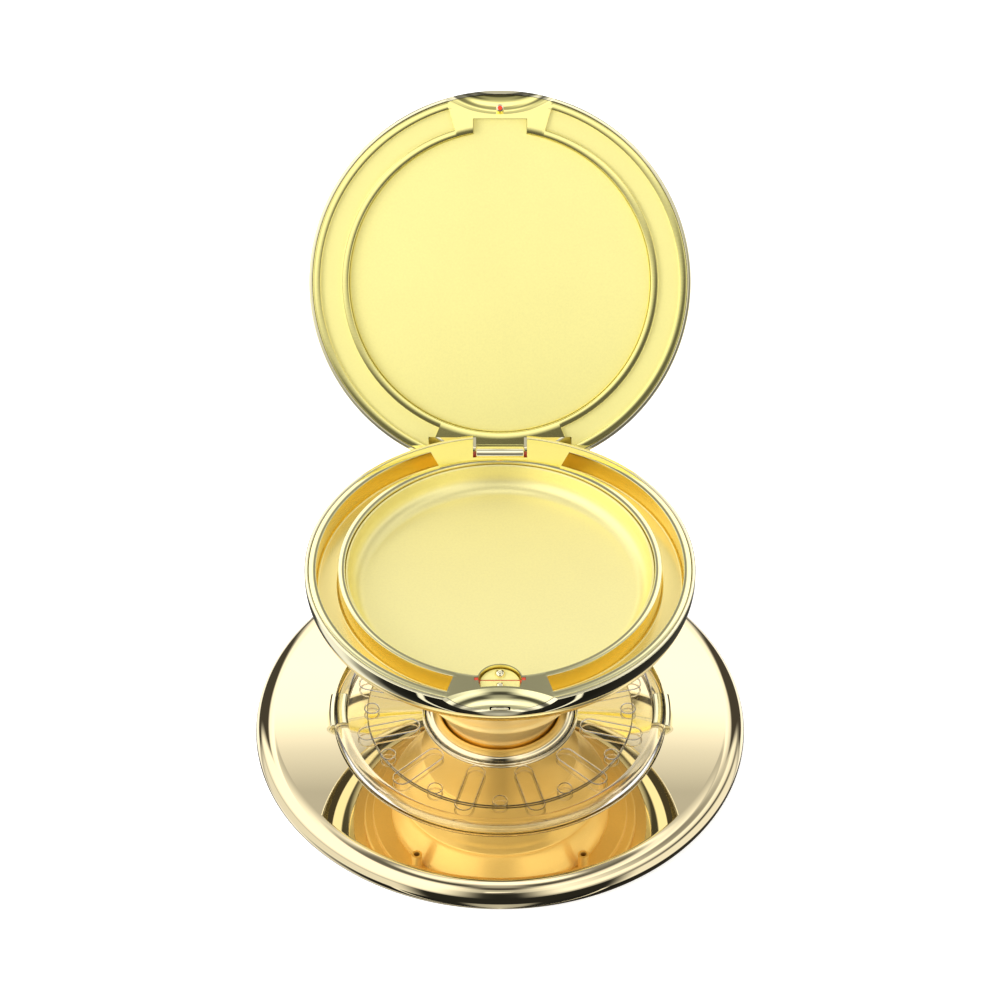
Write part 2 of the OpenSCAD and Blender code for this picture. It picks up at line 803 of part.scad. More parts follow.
grip_pad();
base_floor();
magnet_ring();
steel_ring();
base_cover();
clear_platform();
left_clip();
right_clip();
collar_ring();
neck_hub();
bellows();
top_plate();
bayonet_plug();
bearing_disc();
base_shell();
base_tray();
powder_pan();
catch_spring();
catch_button();
catch_disc();
catch_studs();
catch_pin();
hinge_pin();
hinge_leaf();
lid_shell();
lid_frame();
mirror_seat();
lid_hook();
hook_tip();
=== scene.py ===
"""Round powder compact on a collapsible stem with a magnetic base disc: its finished surfaces, built round
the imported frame. All outlines are in millimetres about the stem's axis; meshes are in metres."""

import json
import math

import bmesh
import bpy
import numpy as np
from bpy.props import FloatProperty, FloatVectorProperty, IntProperty, PointerProperty
from mathutils import Matrix, Vector


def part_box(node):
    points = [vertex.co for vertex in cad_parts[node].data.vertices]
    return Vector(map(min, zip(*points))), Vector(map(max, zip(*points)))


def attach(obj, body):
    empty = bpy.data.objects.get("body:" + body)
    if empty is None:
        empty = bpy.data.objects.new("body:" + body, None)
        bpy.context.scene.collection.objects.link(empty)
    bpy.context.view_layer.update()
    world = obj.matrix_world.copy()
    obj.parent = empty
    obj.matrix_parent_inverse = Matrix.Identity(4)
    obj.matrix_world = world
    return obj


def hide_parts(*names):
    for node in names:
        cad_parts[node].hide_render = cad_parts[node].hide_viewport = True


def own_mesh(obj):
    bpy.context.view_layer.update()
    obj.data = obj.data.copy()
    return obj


bl_info = {
    "name": "Powder Compact Finisher",
    "version": (1, 0, 0),
    "blender": (4, 5, 0),
    "location": "3D View > Sidebar > Compact",
    "description": "Builds the finished surfaces of a powder compact on a collapsible stem",
    "category": "Object",
}

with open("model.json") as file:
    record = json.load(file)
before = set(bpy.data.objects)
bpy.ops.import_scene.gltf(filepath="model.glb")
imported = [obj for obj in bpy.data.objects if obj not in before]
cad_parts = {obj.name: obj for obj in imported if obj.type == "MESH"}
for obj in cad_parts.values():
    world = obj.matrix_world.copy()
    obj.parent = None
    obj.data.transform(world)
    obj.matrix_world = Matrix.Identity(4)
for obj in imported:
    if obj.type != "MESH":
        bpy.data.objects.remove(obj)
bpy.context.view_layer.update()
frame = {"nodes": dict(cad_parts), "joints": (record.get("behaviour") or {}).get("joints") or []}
MM = 0.001
JOINTS = {joint["name"]: joint for joint in frame["joints"]}


def corners(node):
    """Lowest and highest corner of a CAD node, in millimetres."""
    lo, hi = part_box(node)
    return np.array(lo) / MM, np.array(hi) / MM


# Measures of the frame, in millimetres
DISC_LO, DISC_HI = corners("base_cover")
SHELL_LO, SHELL_HI = corners("base_shell")
PAN_LO, PAN_HI = corners("powder_pan")
BELLOWS_LO, BELLOWS_HI = corners("bellows")
PLATE_LO, PLATE_HI = corners("top_plate")
PLATFORM_R = corners("clear_platform")[1][0]
COLLAR_R, _, COLLAR_TOP = corners("collar_ring")[1]
DISC_TOP = DISC_HI[2]
RIM_Z = SHELL_HI[2]
BODY_R = SHELL_HI[0]
HINGE_Y, HINGE_Z = (v / MM for v in JOINTS["lid_hinge"]["pos_m"][1:])
CLOSED_RIM = RIM_Z + 0.15

# Measures that more than one finished piece shares, in millimetres
NECK_R = 6.95
SOCKET_R = 4.05
BEARING_R = 18.0
SKIN = 0.8
TRAY_GAP = 0.45
CATCH_Y, CATCH_R, CATCH_TOP = -18.6, 2.33, RIM_Z - 0.45
PIN_Y, PIN_Z = -18.2, RIM_Z - 0.69
LEAF_HALF = 2.85
SEAT_R = 17.9


def length(name, default, text):
    """A length in millimetres as a property in metres."""
    return FloatProperty(name=name, description=text, default=default * MM, min=0, unit="LENGTH", precision=5)


def colour(name, default, text):
    """A colour property."""
    return FloatVectorProperty(name=name, description=text, default=default, min=0, max=1, subtype="COLOR")


class CompactSizes(bpy.types.PropertyGroup):
    """Sizes of the finished surfaces."""

    turns: IntProperty(name="Turns", description="Steps round a turned piece", default=256, min=48, max=512)
    disc_round: length("Disc upper edge", 2.3, "Radius of the upper edge of the base disc")
    disc_under: length("Disc lower edge", 1.4, "Radius of the lower edge of the base disc")
    rim_bead: length("Platform rim", 0.92, "Radius of the half-round rim of the clear platform")
    petal_half: length("Petal half width", 1.05, "Half width of a raised petal on the platform")
    line_width: length("Line width", 0.2, "Width of a raised line on the platform")
    line_height: length("Line height", 0.12, "Height of a raised line on the platform")
    bellows_wall: length("Bellows wall", 0.7, "Wall of the bellows")
    shell_edge: length("Shell edge", 0.4, "Thickness of the shell at its edge")
    shell_round: length("Shell under curve", 4.4, "Radius of the curve under the compact")
    pan_fillet: length("Pan fillet", 1.9, "Radius inside the powder pan")
    channel_in: length("Channel inner radius", 18.75, "Inner radius of the side channels")
    channel_out: length("Channel outer radius", 21.3, "Outer radius of the side channels")
    channel_depth: length("Channel depth", 2.6, "Depth of the side channels of the base")
    lid_channel_depth: length("Lid channel depth", 0.5, "Depth of the side channels of the lid")
    lid_height: length("Lid height", 4.0, "Height of the lid")
    lid_dome: length("Lid dome", 2.6, "Radius of the domed edge of the lid")
    scoop_width: length("Scoop width", 13.2, "Width of the thumb scoop at the rim")
    scoop_reach: length("Scoop reach", 1.8, "How far the scoop reaches in from its corners")
    scoop_drop: length("Scoop depth", 1.25, "Depth of the scoop at the outer wall")


class CompactColours(bpy.types.PropertyGroup):
    """Colours of the finishes, with painted shade in the channel gold and the under gold."""

    mirror: colour("Mirror gold", (0.98, 0.84, 0.53), "Bright plated gold of the base disc")
    shell: colour("Case gold", (0.97, 0.90, 0.60), "Bright plated gold of the compact's outside")
    satin: colour("Satin gold", (0.99, 0.90, 0.34), "Satin gold of the compact's inside")
    rim: colour("Rim gold", (0.97, 0.905, 0.50), "Polished gold of the rim of the tray")
    pan: colour("Pan gold", (0.99, 0.90, 0.42), "Satin gold of the powder pan")
    # Channel gold: the satin gold of the channels, made darker and more orange as painted shade in the recesses
    channel_gold_and_shade: colour("Deep gold", (0.98, 0.80, 0.31), "Gold in the channels")
    # Under gold: darker and more orange than the satin gold, as painted shade under the compact
    under: colour("Under gold", (0.93, 0.63, 0.21), "Gold under the compact")
    bellows: colour("Bellows gold", (0.95, 0.69, 0.26), "Gold of the bellows")
    lacquer: colour("Red lacquer", (0.72, 0.05, 0.01), "Lacquer of the pins")
    pad: colour("Pad", (0.035, 0.034, 0.036), "Silicone of the grip pad")
    steel: colour("Steel", (0.56, 0.57, 0.60), "Plated steel and magnets")
    floor: colour("Floor", (0.93, 0.93, 0.93), "Studio floor")


# ---------- surfaces ----------


def outline(*corner, fine=9.0):
    """Closed outline through corners (r, z, round). A corner with a round gives way to the arc of that radius
    that touches both its sides, in steps of at most `fine` degrees."""
    given = [np.array((c + (0,))[:3], float) for c in corner]
    parts = []
    for before, at, after in zip(given[-1:] + given[:-1], given, given[1:] + given[:1]):
        p, radius = at[:2], at[2]
        if radius <= 0:
            parts.append(p[None])
            continue
        u, v = before[:2] - p, after[:2] - p
        u, v = u / np.linalg.norm(u), v / np.linalg.norm(v)
        half = math.acos(float(np.clip(u @ v, -1, 1))) / 2
        centre = p + (u + v) / np.linalg.norm(u + v) * radius / math.sin(half)
        start, end = p + u * radius / math.tan(half) - centre, p + v * radius / math.tan(half) - centre
        a = math.atan2(start[1], start[0])
        turn = (math.atan2(end[1], end[0]) - a + math.pi) % (2 * math.pi) - math.pi
        t = a + turn * np.linspace(0, 1, max(3, math.ceil(abs(math.degrees(turn)) / fine)) + 1)
        parts.append(centre + radius * np.stack([np.cos(t), np.sin(t)], 1))
    return np.concatenate(parts)


def ellipse_arc(r, z, wide, high, start, end, steps):
    """Arc of an ellipse: (r + wide cos t, z + high sin t) from angle start to end."""
    t = np.radians(np.linspace(start, end, steps))
    return np.stack([r + wide * np.cos(t), z + high * np.sin(t)], 1)


def mesh_piece(name, points, faces):
    """An object from points in millimetres and faces, doubles merged and normals turned outwards."""
    mesh = bpy.data.meshes.new(name)
    faces = faces.tolist() if isinstance(faces, np.ndarray) else faces
    mesh.from_pydata(np.asarray(points, float).reshape(-1, 3) * MM, [], faces)
    piece = bpy.data.objects.new(name, mesh)
    bpy.context.scene.collection.objects.link(piece)
    clean(piece)
    return piece


def clean(piece, merge=2e-7):
    """Merges doubles, drops empty faces and turns the normals outwards."""
    work = bmesh.new()
    work.from_mesh(piece.data)
    bmesh.ops.remove_doubles(work, verts=work.verts, dist=merge)
    bmesh.ops.dissolve_degenerate(work, edges=work.edges, dist=merge)
    bmesh.ops.recalc_face_normals(work, faces=work.faces)
    work.to_mesh(piece.data)
    work.free()


def grid_faces(rows, columns, close_rows, close_columns, base=0):
    """Quads of a grid of rows by columns, as one array."""
    i = np.arange(rows if close_rows else rows - 1)
    j = np.arange(columns if close_columns else columns - 1)
    i, j = [a.ravel() for a in np.meshgrid(i, j, indexing="ij")]
    i1, j1 = (i + 1) % rows, (j + 1) % columns
    return base + np.stack([i * columns + j, i1 * columns + j, i1 * columns + j1, i * columns + j1], 1)


def lathe(name, ring, turns=None, about=(0, 0)):
    """Turned solid: point (r, z) of the closed outline at angle t lies at (r cos t, r sin t, z)."""
    turns = turns or bpy.context.scene.compact_sizes.turns
    t = np.linspace(0, 2 * math.pi, turns, endpoint=False)[:, None]
    r, z = ring[:, 0][None], ring[:, 1][None]
    points = np.stack([r * np.cos(t) + about[0], r * np.sin(t) + about[1], z + 0 * t], 2)
    return mesh_piece(name, points, grid_faces(turns, len(ring), True, True))


def changing_lathe(name, rings, weight, t):
    """Turned solid whose outline changes: (1 - w) * first + w * second, with w given for each angle t."""
    first, second = rings
    ring = first[None] * (1 - weight[:, None, None]) + second[None] * weight[:, None, None]
    r, z = ring[:, :, 0], ring[:, :, 1]
    points = np.stack([r * np.cos(t)[:, None], r * np.sin(t)[:, None], z], 2)
    return mesh_piece(name, points, grid_faces(len(t), len(first), True, True))


def arc_bar(name, ring, start, end, steps):
    """Closed outline carried along an arc from angle start to end, with flat ends."""
    t = np.radians(np.linspace(start, end, steps))[:, None]
    r, z = ring[:, 0][None], ring[:, 1][None]
    points = np.stack([r * np.cos(t), r * np.sin(t), z + 0 * t], 2)
    n = len(ring)
    faces = grid_faces(steps, n, False, True).tolist()
    faces += [list(range(n)), list(range((steps - 1) * n, steps * n))[::-1]]
    return mesh_piece(name, points, faces)


def block(name, x, y, z):
    """Box between two values on each axis."""
    points = np.array([[a, b, c] for a in x for b in y for c in z], float)
    faces = [[0, 1, 3, 2], [4, 6, 7, 5], [0, 4, 5, 1], [2, 3, 7, 6], [0, 2, 6, 4], [1, 5, 7, 3]]
    return mesh_piece(name, points, faces)


def bar_x(name, radius, half, y, z, soft=0.05, steps=64):
    """Bar along X: outline (radius, x) turned about the line through y and z."""
    bar = lathe(name, outline((0, -half), (radius, -half, soft), (radius, half, soft), (0, half)), steps)
    place(bar, Matrix.Translation(Vector((0, y, z)) * MM) @ Matrix.Rotation(math.pi / 2, 4, "Y"))
    return bar


def place(piece, matrix):
    """Moves a piece's mesh, and leaves its object at the origin."""
    piece.data.transform(matrix)


def cut(piece, *cutters, way="DIFFERENCE"):
    """Cuts solids out of a piece, or joins them to it with way="UNION", and removes them."""
    for cutter in cutters:
        step = piece.modifiers.new("cut", "BOOLEAN")
        step.operation, step.solver, step.object = way, "EXACT", cutter
    bpy.context.view_layer.update()
    result = bpy.data.meshes.new_from_object(piece.evaluated_get(bpy.context.evaluated_depsgraph_get()))
    piece.modifiers.clear()
    old, piece.data = piece.data, result
    bpy.data.meshes.remove(old)
    for cutter in cutters:
        mesh = cutter.data
        bpy.data.objects.remove(cutter)
        bpy.data.meshes.remove(mesh)
    clean(piece)
    return piece


def finish_piece(piece, name, material, body, node, sharp=28, edge=0.0):
    """Smooth shading up to an angle, an optional small bevel, the material, the body it rides on and the node
    of the frame that it stands for."""
    piece.name = piece.data.name = name
    mesh = piece.data
    mesh.shade_smooth()
    mesh.set_sharp_from_angle(angle=math.radians(sharp))
    if edge:
        bevel = piece.modifiers.new("edge", "BEVEL")
        bevel.width, bevel.segments, bevel.limit_method = edge, 2, "ANGLE"
        bevel.angle_limit, bevel.harden_normals = math.radians(35), True
        bevel.use_clamp_overlap = True
    mesh.materials.clear()
    mesh.materials.append(material)
    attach(piece, body)
    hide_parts(node)


def finish_cad(node, material):
    """A node of the frame with its doubles merged, and a material."""
    piece = frame["nodes"][node]
    piece.modifiers.new("weld", "WELD").merge_threshold = 1e-6
    piece.data.materials.clear()
    piece.data.materials.append(material)


# ---------- effects and finishes ----------


class Wiring:
    """Adds nodes to a shader tree. Inputs are values or outputs of other nodes; a method gives an output."""

    def __init__(self, tree):
        self.nodes, self.links = tree.nodes, tree.links

    def feed(self, socket, value):
        """Sets an input to a value, or links it to an output."""
        if isinstance(value, bpy.types.NodeSocket):
            self.links.new(value, socket)
        else:
            socket.default_value = value

    def math(self, operation, *values):
        """A Math node."""
        node = self.nodes.new("ShaderNodeMath")
        node.operation = operation
        for socket, value in zip(node.inputs, values):
            self.feed(socket, value)
        return node.outputs[0]

    def product(self, first, *others):
        """The product of all the values."""
        for other in others:
            first = self.math("MULTIPLY", first, other)
        return first

    def share(self, value, low, high):
        """Smooth share of the way from low to high, kept to 0..1."""
        node = self.nodes.new("ShaderNodeMapRange")
        node.interpolation_type = "SMOOTHSTEP"
        for label, each in (("From Min", low), ("From Max", high), ("Value", value)):
            self.feed(node.inputs[label], each)
        return node.outputs[0]

    def mix(self, factor, a, b):
        """A mix of two colours: (1 - factor) * a + factor * b."""
        node = self.nodes.new("ShaderNodeMix")
        node.data_type = "RGBA"
        for place_in, value in ((0, factor), (6, a), (7, b)):
            self.feed(node.inputs[place_in], value)
        return node.outputs[2]

    def ramp(self, source, low, high, stops):
        """A grey ramp over a source of 0..1 that stands for low..high, given as (place, grey) stops."""
        node = self.nodes.new("ShaderNodeValToRGB")
        node.color_ramp.interpolation = "EASE"
        elements = node.color_ramp.elements
        elements.remove(elements[-1])
        for k, (place_at, value) in enumerate(stops):
            share = (place_at - low) / (high - low)
            element = elements.new(share) if k else elements[0]
            element.position, element.color = share, grey(value)
        self.feed(node.inputs[0], source)
        return node.outputs[0]

    def split(self, vector):
        """The three parts of a vector."""
        node = self.nodes.new("ShaderNodeSeparateXYZ")
        self.links.new(vector, node.inputs[0])
        return node.outputs[:3]


def grey(value):
    """A colour of equal parts."""
    return (value, value, value, 1)


def effect(name, inputs, outputs, build):
    """A shader node group with named inputs and outputs, built once."""
    if name in bpy.data.node_groups:
        return bpy.data.node_groups[name]
    group = bpy.data.node_groups.new(name, "ShaderNodeTree")
    for label, kind, value in inputs:
        socket = group.interface.new_socket(label, in_out="INPUT", socket_type=kind)
        socket.default_value = value
    for label, kind in outputs:
        group.interface.new_socket(label, in_out="OUTPUT", socket_type=kind)
    build(Wiring(group), group.nodes.new("NodeGroupInput").outputs, group.nodes.new("NodeGroupOutput").inputs)
    return group


def satin_grain():
    """Fine grain of a satin surface: two scales of noise that shift colour and height."""

    def build(w, given, out):
        at = w.nodes.new("ShaderNodeTexCoord")
        scales = []
        for label, detail in (("Grain Scale", 2), ("Cloud Scale", 1)):
            noise = w.nodes.new("ShaderNodeTexNoise")
            w.feed(noise.inputs["Vector"], at.outputs["Object"])
            w.feed(noise.inputs["Scale"], given[label])
            w.feed(noise.inputs["Detail"], detail)
            scales.append(noise.outputs["Fac"])
        fine, broad = scales
        shift = w.product(w.math("SUBTRACT", fine, 0.5), given["Amount"])
        cloud = w.product(w.math("SUBTRACT", broad, 0.5), given["Cloud"])
        total = w.math("ADD", w.math("ADD", shift, cloud), 1.0)
        scaled = w.nodes.new("ShaderNodeVectorMath")
        scaled.operation = "SCALE"
        w.feed(scaled.inputs[0], given["Colour"])
        w.feed(scaled.inputs["Scale"], total)
        w.feed(out["Colour"], scaled.outputs[0])
        w.feed(out["Roughness"], w.product(total, given["Roughness"]))
        w.feed(out["Height"], fine)

    colour, number = "NodeSocketColor", "NodeSocketFloat"
    inputs = [("Colour", colour, (1, 1, 1, 1)), ("Roughness", number, 0.3), ("Grain Scale", number, 4000),
              ("Cloud Scale", number, 200), ("Amount", number, 0.1), ("Cloud", number, 0.05)]
    outputs = [("Colour", colour), ("Roughness", number), ("Height", number)]
    return effect("Satin Grain", inputs, outputs, build)


def finish(name, colour, roughness, metallic=1.0, grain=(4000, 200, 0.1, 0.05), bump=0.0, coat=0.0, ior=1.5):
    """A plated or moulded finish: Principled BSDF fed by the grain group, with an optional bump. The grain is
    the scale of the grain and of the clouds, and the amount of each."""
    if name in bpy.data.materials:
        return bpy.data.materials[name]
    material = bpy.data.materials.new(name)
    material.use_nodes = True
    w = Wiring(material.node_tree)
    shader = w.nodes["Principled BSDF"].inputs
    group = w.nodes.new("ShaderNodeGroup")
    group.node_tree = satin_grain()
    labels = ("Grain Scale", "Cloud Scale", "Amount", "Cloud", "Colour", "Roughness")
    for label, value in zip(labels, (*grain, (*colour, 1), roughness)):
        w.feed(group.inputs[label], value)
    w.feed(shader["Base Color"], group.outputs["Colour"])
    w.feed(shader["Roughness"], group.outputs["Roughness"])
    for label, value in (("Metallic", metallic), ("IOR", ior), ("Coat Weight", coat)):
        w.feed(shader[label], value)
    if bump:
        node = w.nodes.new("ShaderNodeBump")
        w.feed(node.inputs["Distance"], bump)
        w.feed(node.inputs["Height"], group.outputs["Height"])
        w.feed(shader["Normal"], node.outputs["Normal"])
    return material


def clear_plastic():
    """Clear moulded plastic, quite smooth."""
    material = finish("Clear Plastic", (1.0, 0.985, 0.955), 0.0, 0.0, (300, 60, 0.0, 0.01), ior=1.49)
    shader = material.node_tree.nodes["Principled BSDF"].inputs
    shader["Transmission Weight"].default_value = 1.0
    for link in list(shader["Roughness"].links):
        material.node_tree.links.remove(link)
    shader["Roughness"].default_value = 0.0
    return material


def faced_gold(name, colours, roughness, share, rim, sense, scoop, turned=None):
    """Polished face, satin channels and a bright scoop. Colours and roughness are given for the face and for
    the channels, and share is how metallic the channels are. Where the channel colour is darker and more
    orange than the face's, as in the tray, it is painted shade in the recessed channels. The depth behind
    the face is sense * (rim - z); the scoop is what lies deeper than the face and nearer to the scoop's
    centre than its radius. `turned` takes a point of the open lid back to the closed one."""
    material = finish(name, colours[0], roughness[0], 1.0, (4200, 160, 0.06, 0.02), 2e-7)
    w = Wiring(material.node_tree)
    group = next(node for node in w.nodes if node.type == "GROUP").inputs
    point = w.nodes.new("ShaderNodeTexCoord").outputs["Object"]
    if turned:
        back = w.nodes.new("ShaderNodeMapping")
        back.inputs["Location"].default_value = turned.to_translation()
        back.inputs["Rotation"].default_value = turned.to_euler()
        w.feed(back.inputs["Vector"], point)
        point = back.outputs[0]
    x, y, z = w.split(point)
    arc, centre, _ = scoop
    depth = w.product(w.math("SUBTRACT", rim * MM, z), sense)
    ahead = w.math("SUBTRACT", y, centre * MM)
    reach = w.math("SQRT", w.math("MULTIPLY_ADD", ahead, ahead, w.product(x, x)))
    near = w.math("LESS_THAN", reach, (arc + 0.02) * MM)
    bowl = w.product(w.math("GREATER_THAN", depth, 0.01 * MM), near)
    channel = w.product(w.share(depth, 0.06 * MM, 0.4 * MM), w.math("SUBTRACT", 1.0, near))
    # The channel mask sets satin roughness and metallic share, and the channel colour, which in the tray is
    # painted shade
    w.feed(group["Colour"], w.mix(channel, (*colours[0], 1), (*colours[1], 1)))
    rough = w.math("MULTIPLY_ADD", channel, roughness[1] - roughness[0], roughness[0])
    w.feed(group["Roughness"], w.product(rough, w.math("MULTIPLY_ADD", bowl, -0.6, 1.0)))
    w.feed(w.nodes["Principled BSDF"].inputs["Metallic"], w.math("MULTIPLY_ADD", channel, share - 1.0, 1.0))
    return material


def mirror_gold():
    """Bright plated gold of the base disc and the collar."""
    return finish("Mirror Gold", palette().mirror, 0.015, grain=(900, 40, 0.0, 0.01))


def shell_gold():
    """Bright plated gold of the compact's outside."""
    return finish("Outer Gold", palette().shell, 0.02, grain=(900, 40, 0.0, 0.01))


def polished_gold():
    """Polished gold of the small parts."""
    return finish("Polished Gold", palette().shell, 0.06, grain=(2500, 150, 0.02, 0.02))


def satin_gold():
    """Satin gold of the compact's inside, part plated and part painted."""
    return finish("Satin Gold", palette().satin, 0.34, 0.5, grain=(4200, 160, 0.10, 0.03), bump=1.5e-6)


def shaded_under_gold():
    """Satin gold of the plate and the disc under the compact, darkened towards orange as painted shade."""
    return finish("Under Gold Painted Shade", palette().under, 0.32, 0.7, grain=(3500, 120, 0.10, 0.06), bump=1.5e-6)


def red_lacquer():
    """Red lacquer of the pins and of the hook's foot."""
    return finish("Red Lacquer", palette().lacquer, 0.3, 0.0, (2000, 100, 0.1, 0.05), coat=0.4)


def palette():
    """The colours of the finishes, with painted shade in the channel gold and the under gold."""
    return bpy.context.scene.compact_colours


def sizes():
    """The sizes in millimetres, by name."""
    group = bpy.context.scene.compact_sizes
    return {k: getattr(group, k) / MM for k in CompactSizes.__annotations__ if k != "turns"}


# ---------- shared cutters ----------


def scoop_numbers(s):
    """Radius, centre and start of the thumb scoop: an arc through both its corners and its inmost point."""
    half = s["scoop_width"] / 2
    corner = math.sqrt(BODY_R**2 - half**2)
    arc = (half**2 + s["scoop_reach"] ** 2) / (2 * s["scoop_reach"])
    centre = -(corner - s["scoop_reach"]) - arc
    return arc, centre, -centre - BODY_R


def scoop_cutter(s, z, sense):
    """The scoop: a bowl of one radius, turned about a line in front of the rim, below z or above it."""
    arc, centre, start = scoop_numbers(s)
    span, drop = arc - start, s["scoop_drop"]
    bowl = (span**2 + drop**2) / (2 * drop)
    a = np.linspace(-math.pi / 2, -math.asin((bowl - drop) / bowl), 22)
    bend = np.stack([start + bowl * np.cos(a), bowl - drop + bowl * np.sin(a)], 1)
    ring = np.concatenate([[[0, -drop]], bend, [[arc, 2], [0, 2]]])
    ring[:, 1] = z - sense * ring[:, 1]
    if sense > 0:
        ring = ring[::-1]
    return lathe("scoop", ring, 480, (0, centre))


def scoop_front(s, lip, low, high):
    """A cylinder about the centre of the scoop, wider than it by the lip, to cut a piece back behind it."""
    arc, centre, _ = scoop_numbers(s)
    return lathe("front", outline((0, low), (arc + lip, low), (arc + lip, high), (0, high)), 360, (0, centre))


def well_cutter(s, radius, z, height, lip):
    """A round well over the catch, kept behind the lip of the scoop."""
    top = z + height
    well = lathe("well", outline((0, z), (radius, z), (radius, top), (0, top)), 96, (0, CATCH_Y))
    return cut(well, scoop_front(s, lip, z - 1, top + 1))


def channel_weight(turns):
    """Angles and weights of the side channels: 1 in a channel and 0 between, with steep ends."""
    front, back, edge = 16.5, 22.7, 0.05
    ends = np.array([-90 + front, 90 - back, 90 + back, 270 - front])
    t = np.concatenate([np.linspace(-90, 270, turns, endpoint=False)] + [[e - edge, e + edge] for e in ends])
    t = np.unique(np.round(t, 4))
    inside = ((t > ends[0]) & (t < ends[1])) | ((t > ends[2]) & (t < ends[3]))
    return np.radians(t), inside.astype(float)


def channelled(name, ring, s, z, depth):
    """A turned solid whose outline gets a channel on each side, and stays flat at height z between them."""
    flat = ring.copy()
    inner, outer = s["channel_in"] - 0.08, s["channel_out"] + 0.08
    inside = (ring[:, 0] > inner) & (ring[:, 0] < outer) & (np.abs(ring[:, 1] - z) < depth + 0.01)
    flat[inside, 1] = z
    t, weight = channel_weight(bpy.context.scene.compact_sizes.turns)
    return changing_lathe(name, (flat, ring), weight, t)


def lid_matrix():
    """Turns a piece drawn on the closed lid to where the lid stands open at rest."""
    hinge = JOINTS["lid_hinge"]
    axis = Vector(hinge["pos_m"])
    turn = Matrix.Rotation(-math.radians(hinge["range_deg"][1]), 4, "X")
    return Matrix.Translation(axis) @ turn @ Matrix.Translation(-axis)


# ---------- pieces ----------


class BaseDisc(bpy.types.Operator):
    """Mirror cover of the base disc with its rounded edge, and the plain pieces inside and under it"""

    bl_idname = "compact.base_disc"
    bl_label = "Base disc"

    def execute(self, context):
        s, (z0, top, r) = sizes(), (DISC_LO[2], DISC_TOP, DISC_HI[0])
        under = s["disc_under"]
        wide, inside = top - s["disc_round"], 27.45
        ring = np.concatenate([
            outline((NECK_R, top), (NECK_R, top - SKIN), (inside, top - SKIN), (inside, z0), (r - under, z0)),
            ellipse_arc(r - under, wide, under, wide - z0, -90, 0, 16),
            ellipse_arc(r - s["disc_round"], wide, s["disc_round"], s["disc_round"], 0, 90, 40)[1:],
        ])
        cover = lathe("cover", ring, 360)
        finish_piece(cover, "base_cover_skin", mirror_gold(), "stand", "base_cover")
        c = palette()
        finish_cad("base_floor", finish("Floor Plate", (0.55, 0.44, 0.22), 0.45, 0.6))
        finish_cad("grip_pad", finish("Grip Pad", c.pad, 0.62, 0.0, (1500, 90, 0.5, 0.2), 8e-6))
        finish_cad("magnet_ring", finish("Magnets", c.steel, 0.25))
        finish_cad("steel_ring", finish("Return Ring", c.steel, 0.35))
        return {"FINISHED"}


class Platform(bpy.types.Operator):
    """Clear platform with its half-round rim, the raised petals on it and the two side clips"""

    bl_idname = "compact.platform"
    bl_label = "Clear platform"

    def execute(self, context):
        s, r, top = sizes(), PLATFORM_R, DISC_TOP + 0.8
        bead, low, inner = s["rim_bead"], DISC_TOP + 0.02, 9.1
        middle = DISC_TOP + 0.25
        end = 180 - math.degrees(math.asin((top - middle) / bead))
        ring = np.concatenate([outline((inner, top, 0.15), (inner, low, 0.1), (r - 0.05, low, 0.15))[:-1],
                               ellipse_arc(r - bead, middle, bead, bead, 0, end, 40)])
        platform = lathe("platform", ring, 320)
        finish_piece(platform, "platform_clear", clear_plastic(), "stand", "clear_platform")
        self.petals(s, r, top)
        out, low, high, half_angle = r + 0.5, DISC_TOP + 0.01, DISC_TOP + 0.6, 7.7
        ring = outline((out - 1.9, low, 0.1), (out, low, 0.28), (out, high, 0.28), (out - 1.9, high, 0.1))
        for turn, node in ((0, "right_clip"), (180, "left_clip")):
            clip = arc_bar(node + "_lug", ring, turn - half_angle, turn + half_angle, 24)
            finish_piece(clip, node + "_lug", polished_gold(), "stand", node, edge=0.08 * MM)
        return {"FINISHED"}

    def petals(self, s, r, top):
        """Raised lines: a half-round section carried along closed paths, a petal and a small circle in turn."""
        count, half = 12, s["petal_half"]
        r_in, r_out = 10.95, r - 2 * s["rim_bead"] - 1.7
        a = np.linspace(-math.pi / 2, math.pi / 2, 20)
        cap = np.stack([np.cos(a), np.sin(a)], 1) * half
        petal = np.concatenate([cap + (r_out, 0), -cap + (r_in, 0)])
        b = np.linspace(0, 2 * math.pi, 32, endpoint=False)
        circle = np.stack([np.cos(b), np.sin(b)], 1) * 0.85 + ((r_in + r_out) / 2 + 1.6, 0)
        points, faces, base = [], [], 0
        for path, offset in ((petal, 0.5), (circle, 1.0)):
            ahead = np.roll(path, -1, 0) - np.roll(path, 1, 0)
            side = np.stack([ahead[:, 1], -ahead[:, 0]], 1) / np.linalg.norm(ahead, axis=1)[:, None]
            u = np.linspace(0, math.pi, 7)
            across = np.append(np.cos(u), 0) * s["line_width"] / 2
            up = np.append(np.sin(u) * s["line_height"], -0.02)
            xy = path[:, None] + side[:, None] * across[None, :, None]
            section = np.concatenate([xy, np.broadcast_to(top + up, (len(path), len(up)))[..., None]], 2)
            for k in range(count):
                t = (k + offset) * 2 * math.pi / count
                turn = np.array([[math.cos(t), math.sin(t), 0], [-math.sin(t), math.cos(t), 0], [0, 0, 1]])
                points.append((section @ turn).reshape(-1, 3))
                faces.append(grid_faces(len(path), len(up), True, True, base))
                base += section.shape[0] * section.shape[1]
        piece = mesh_piece("platform_petals", np.concatenate(points), np.concatenate(faces))
        finish_piece(piece, "platform_petals", clear_plastic(), "stand", "clear_platform", sharp=50)


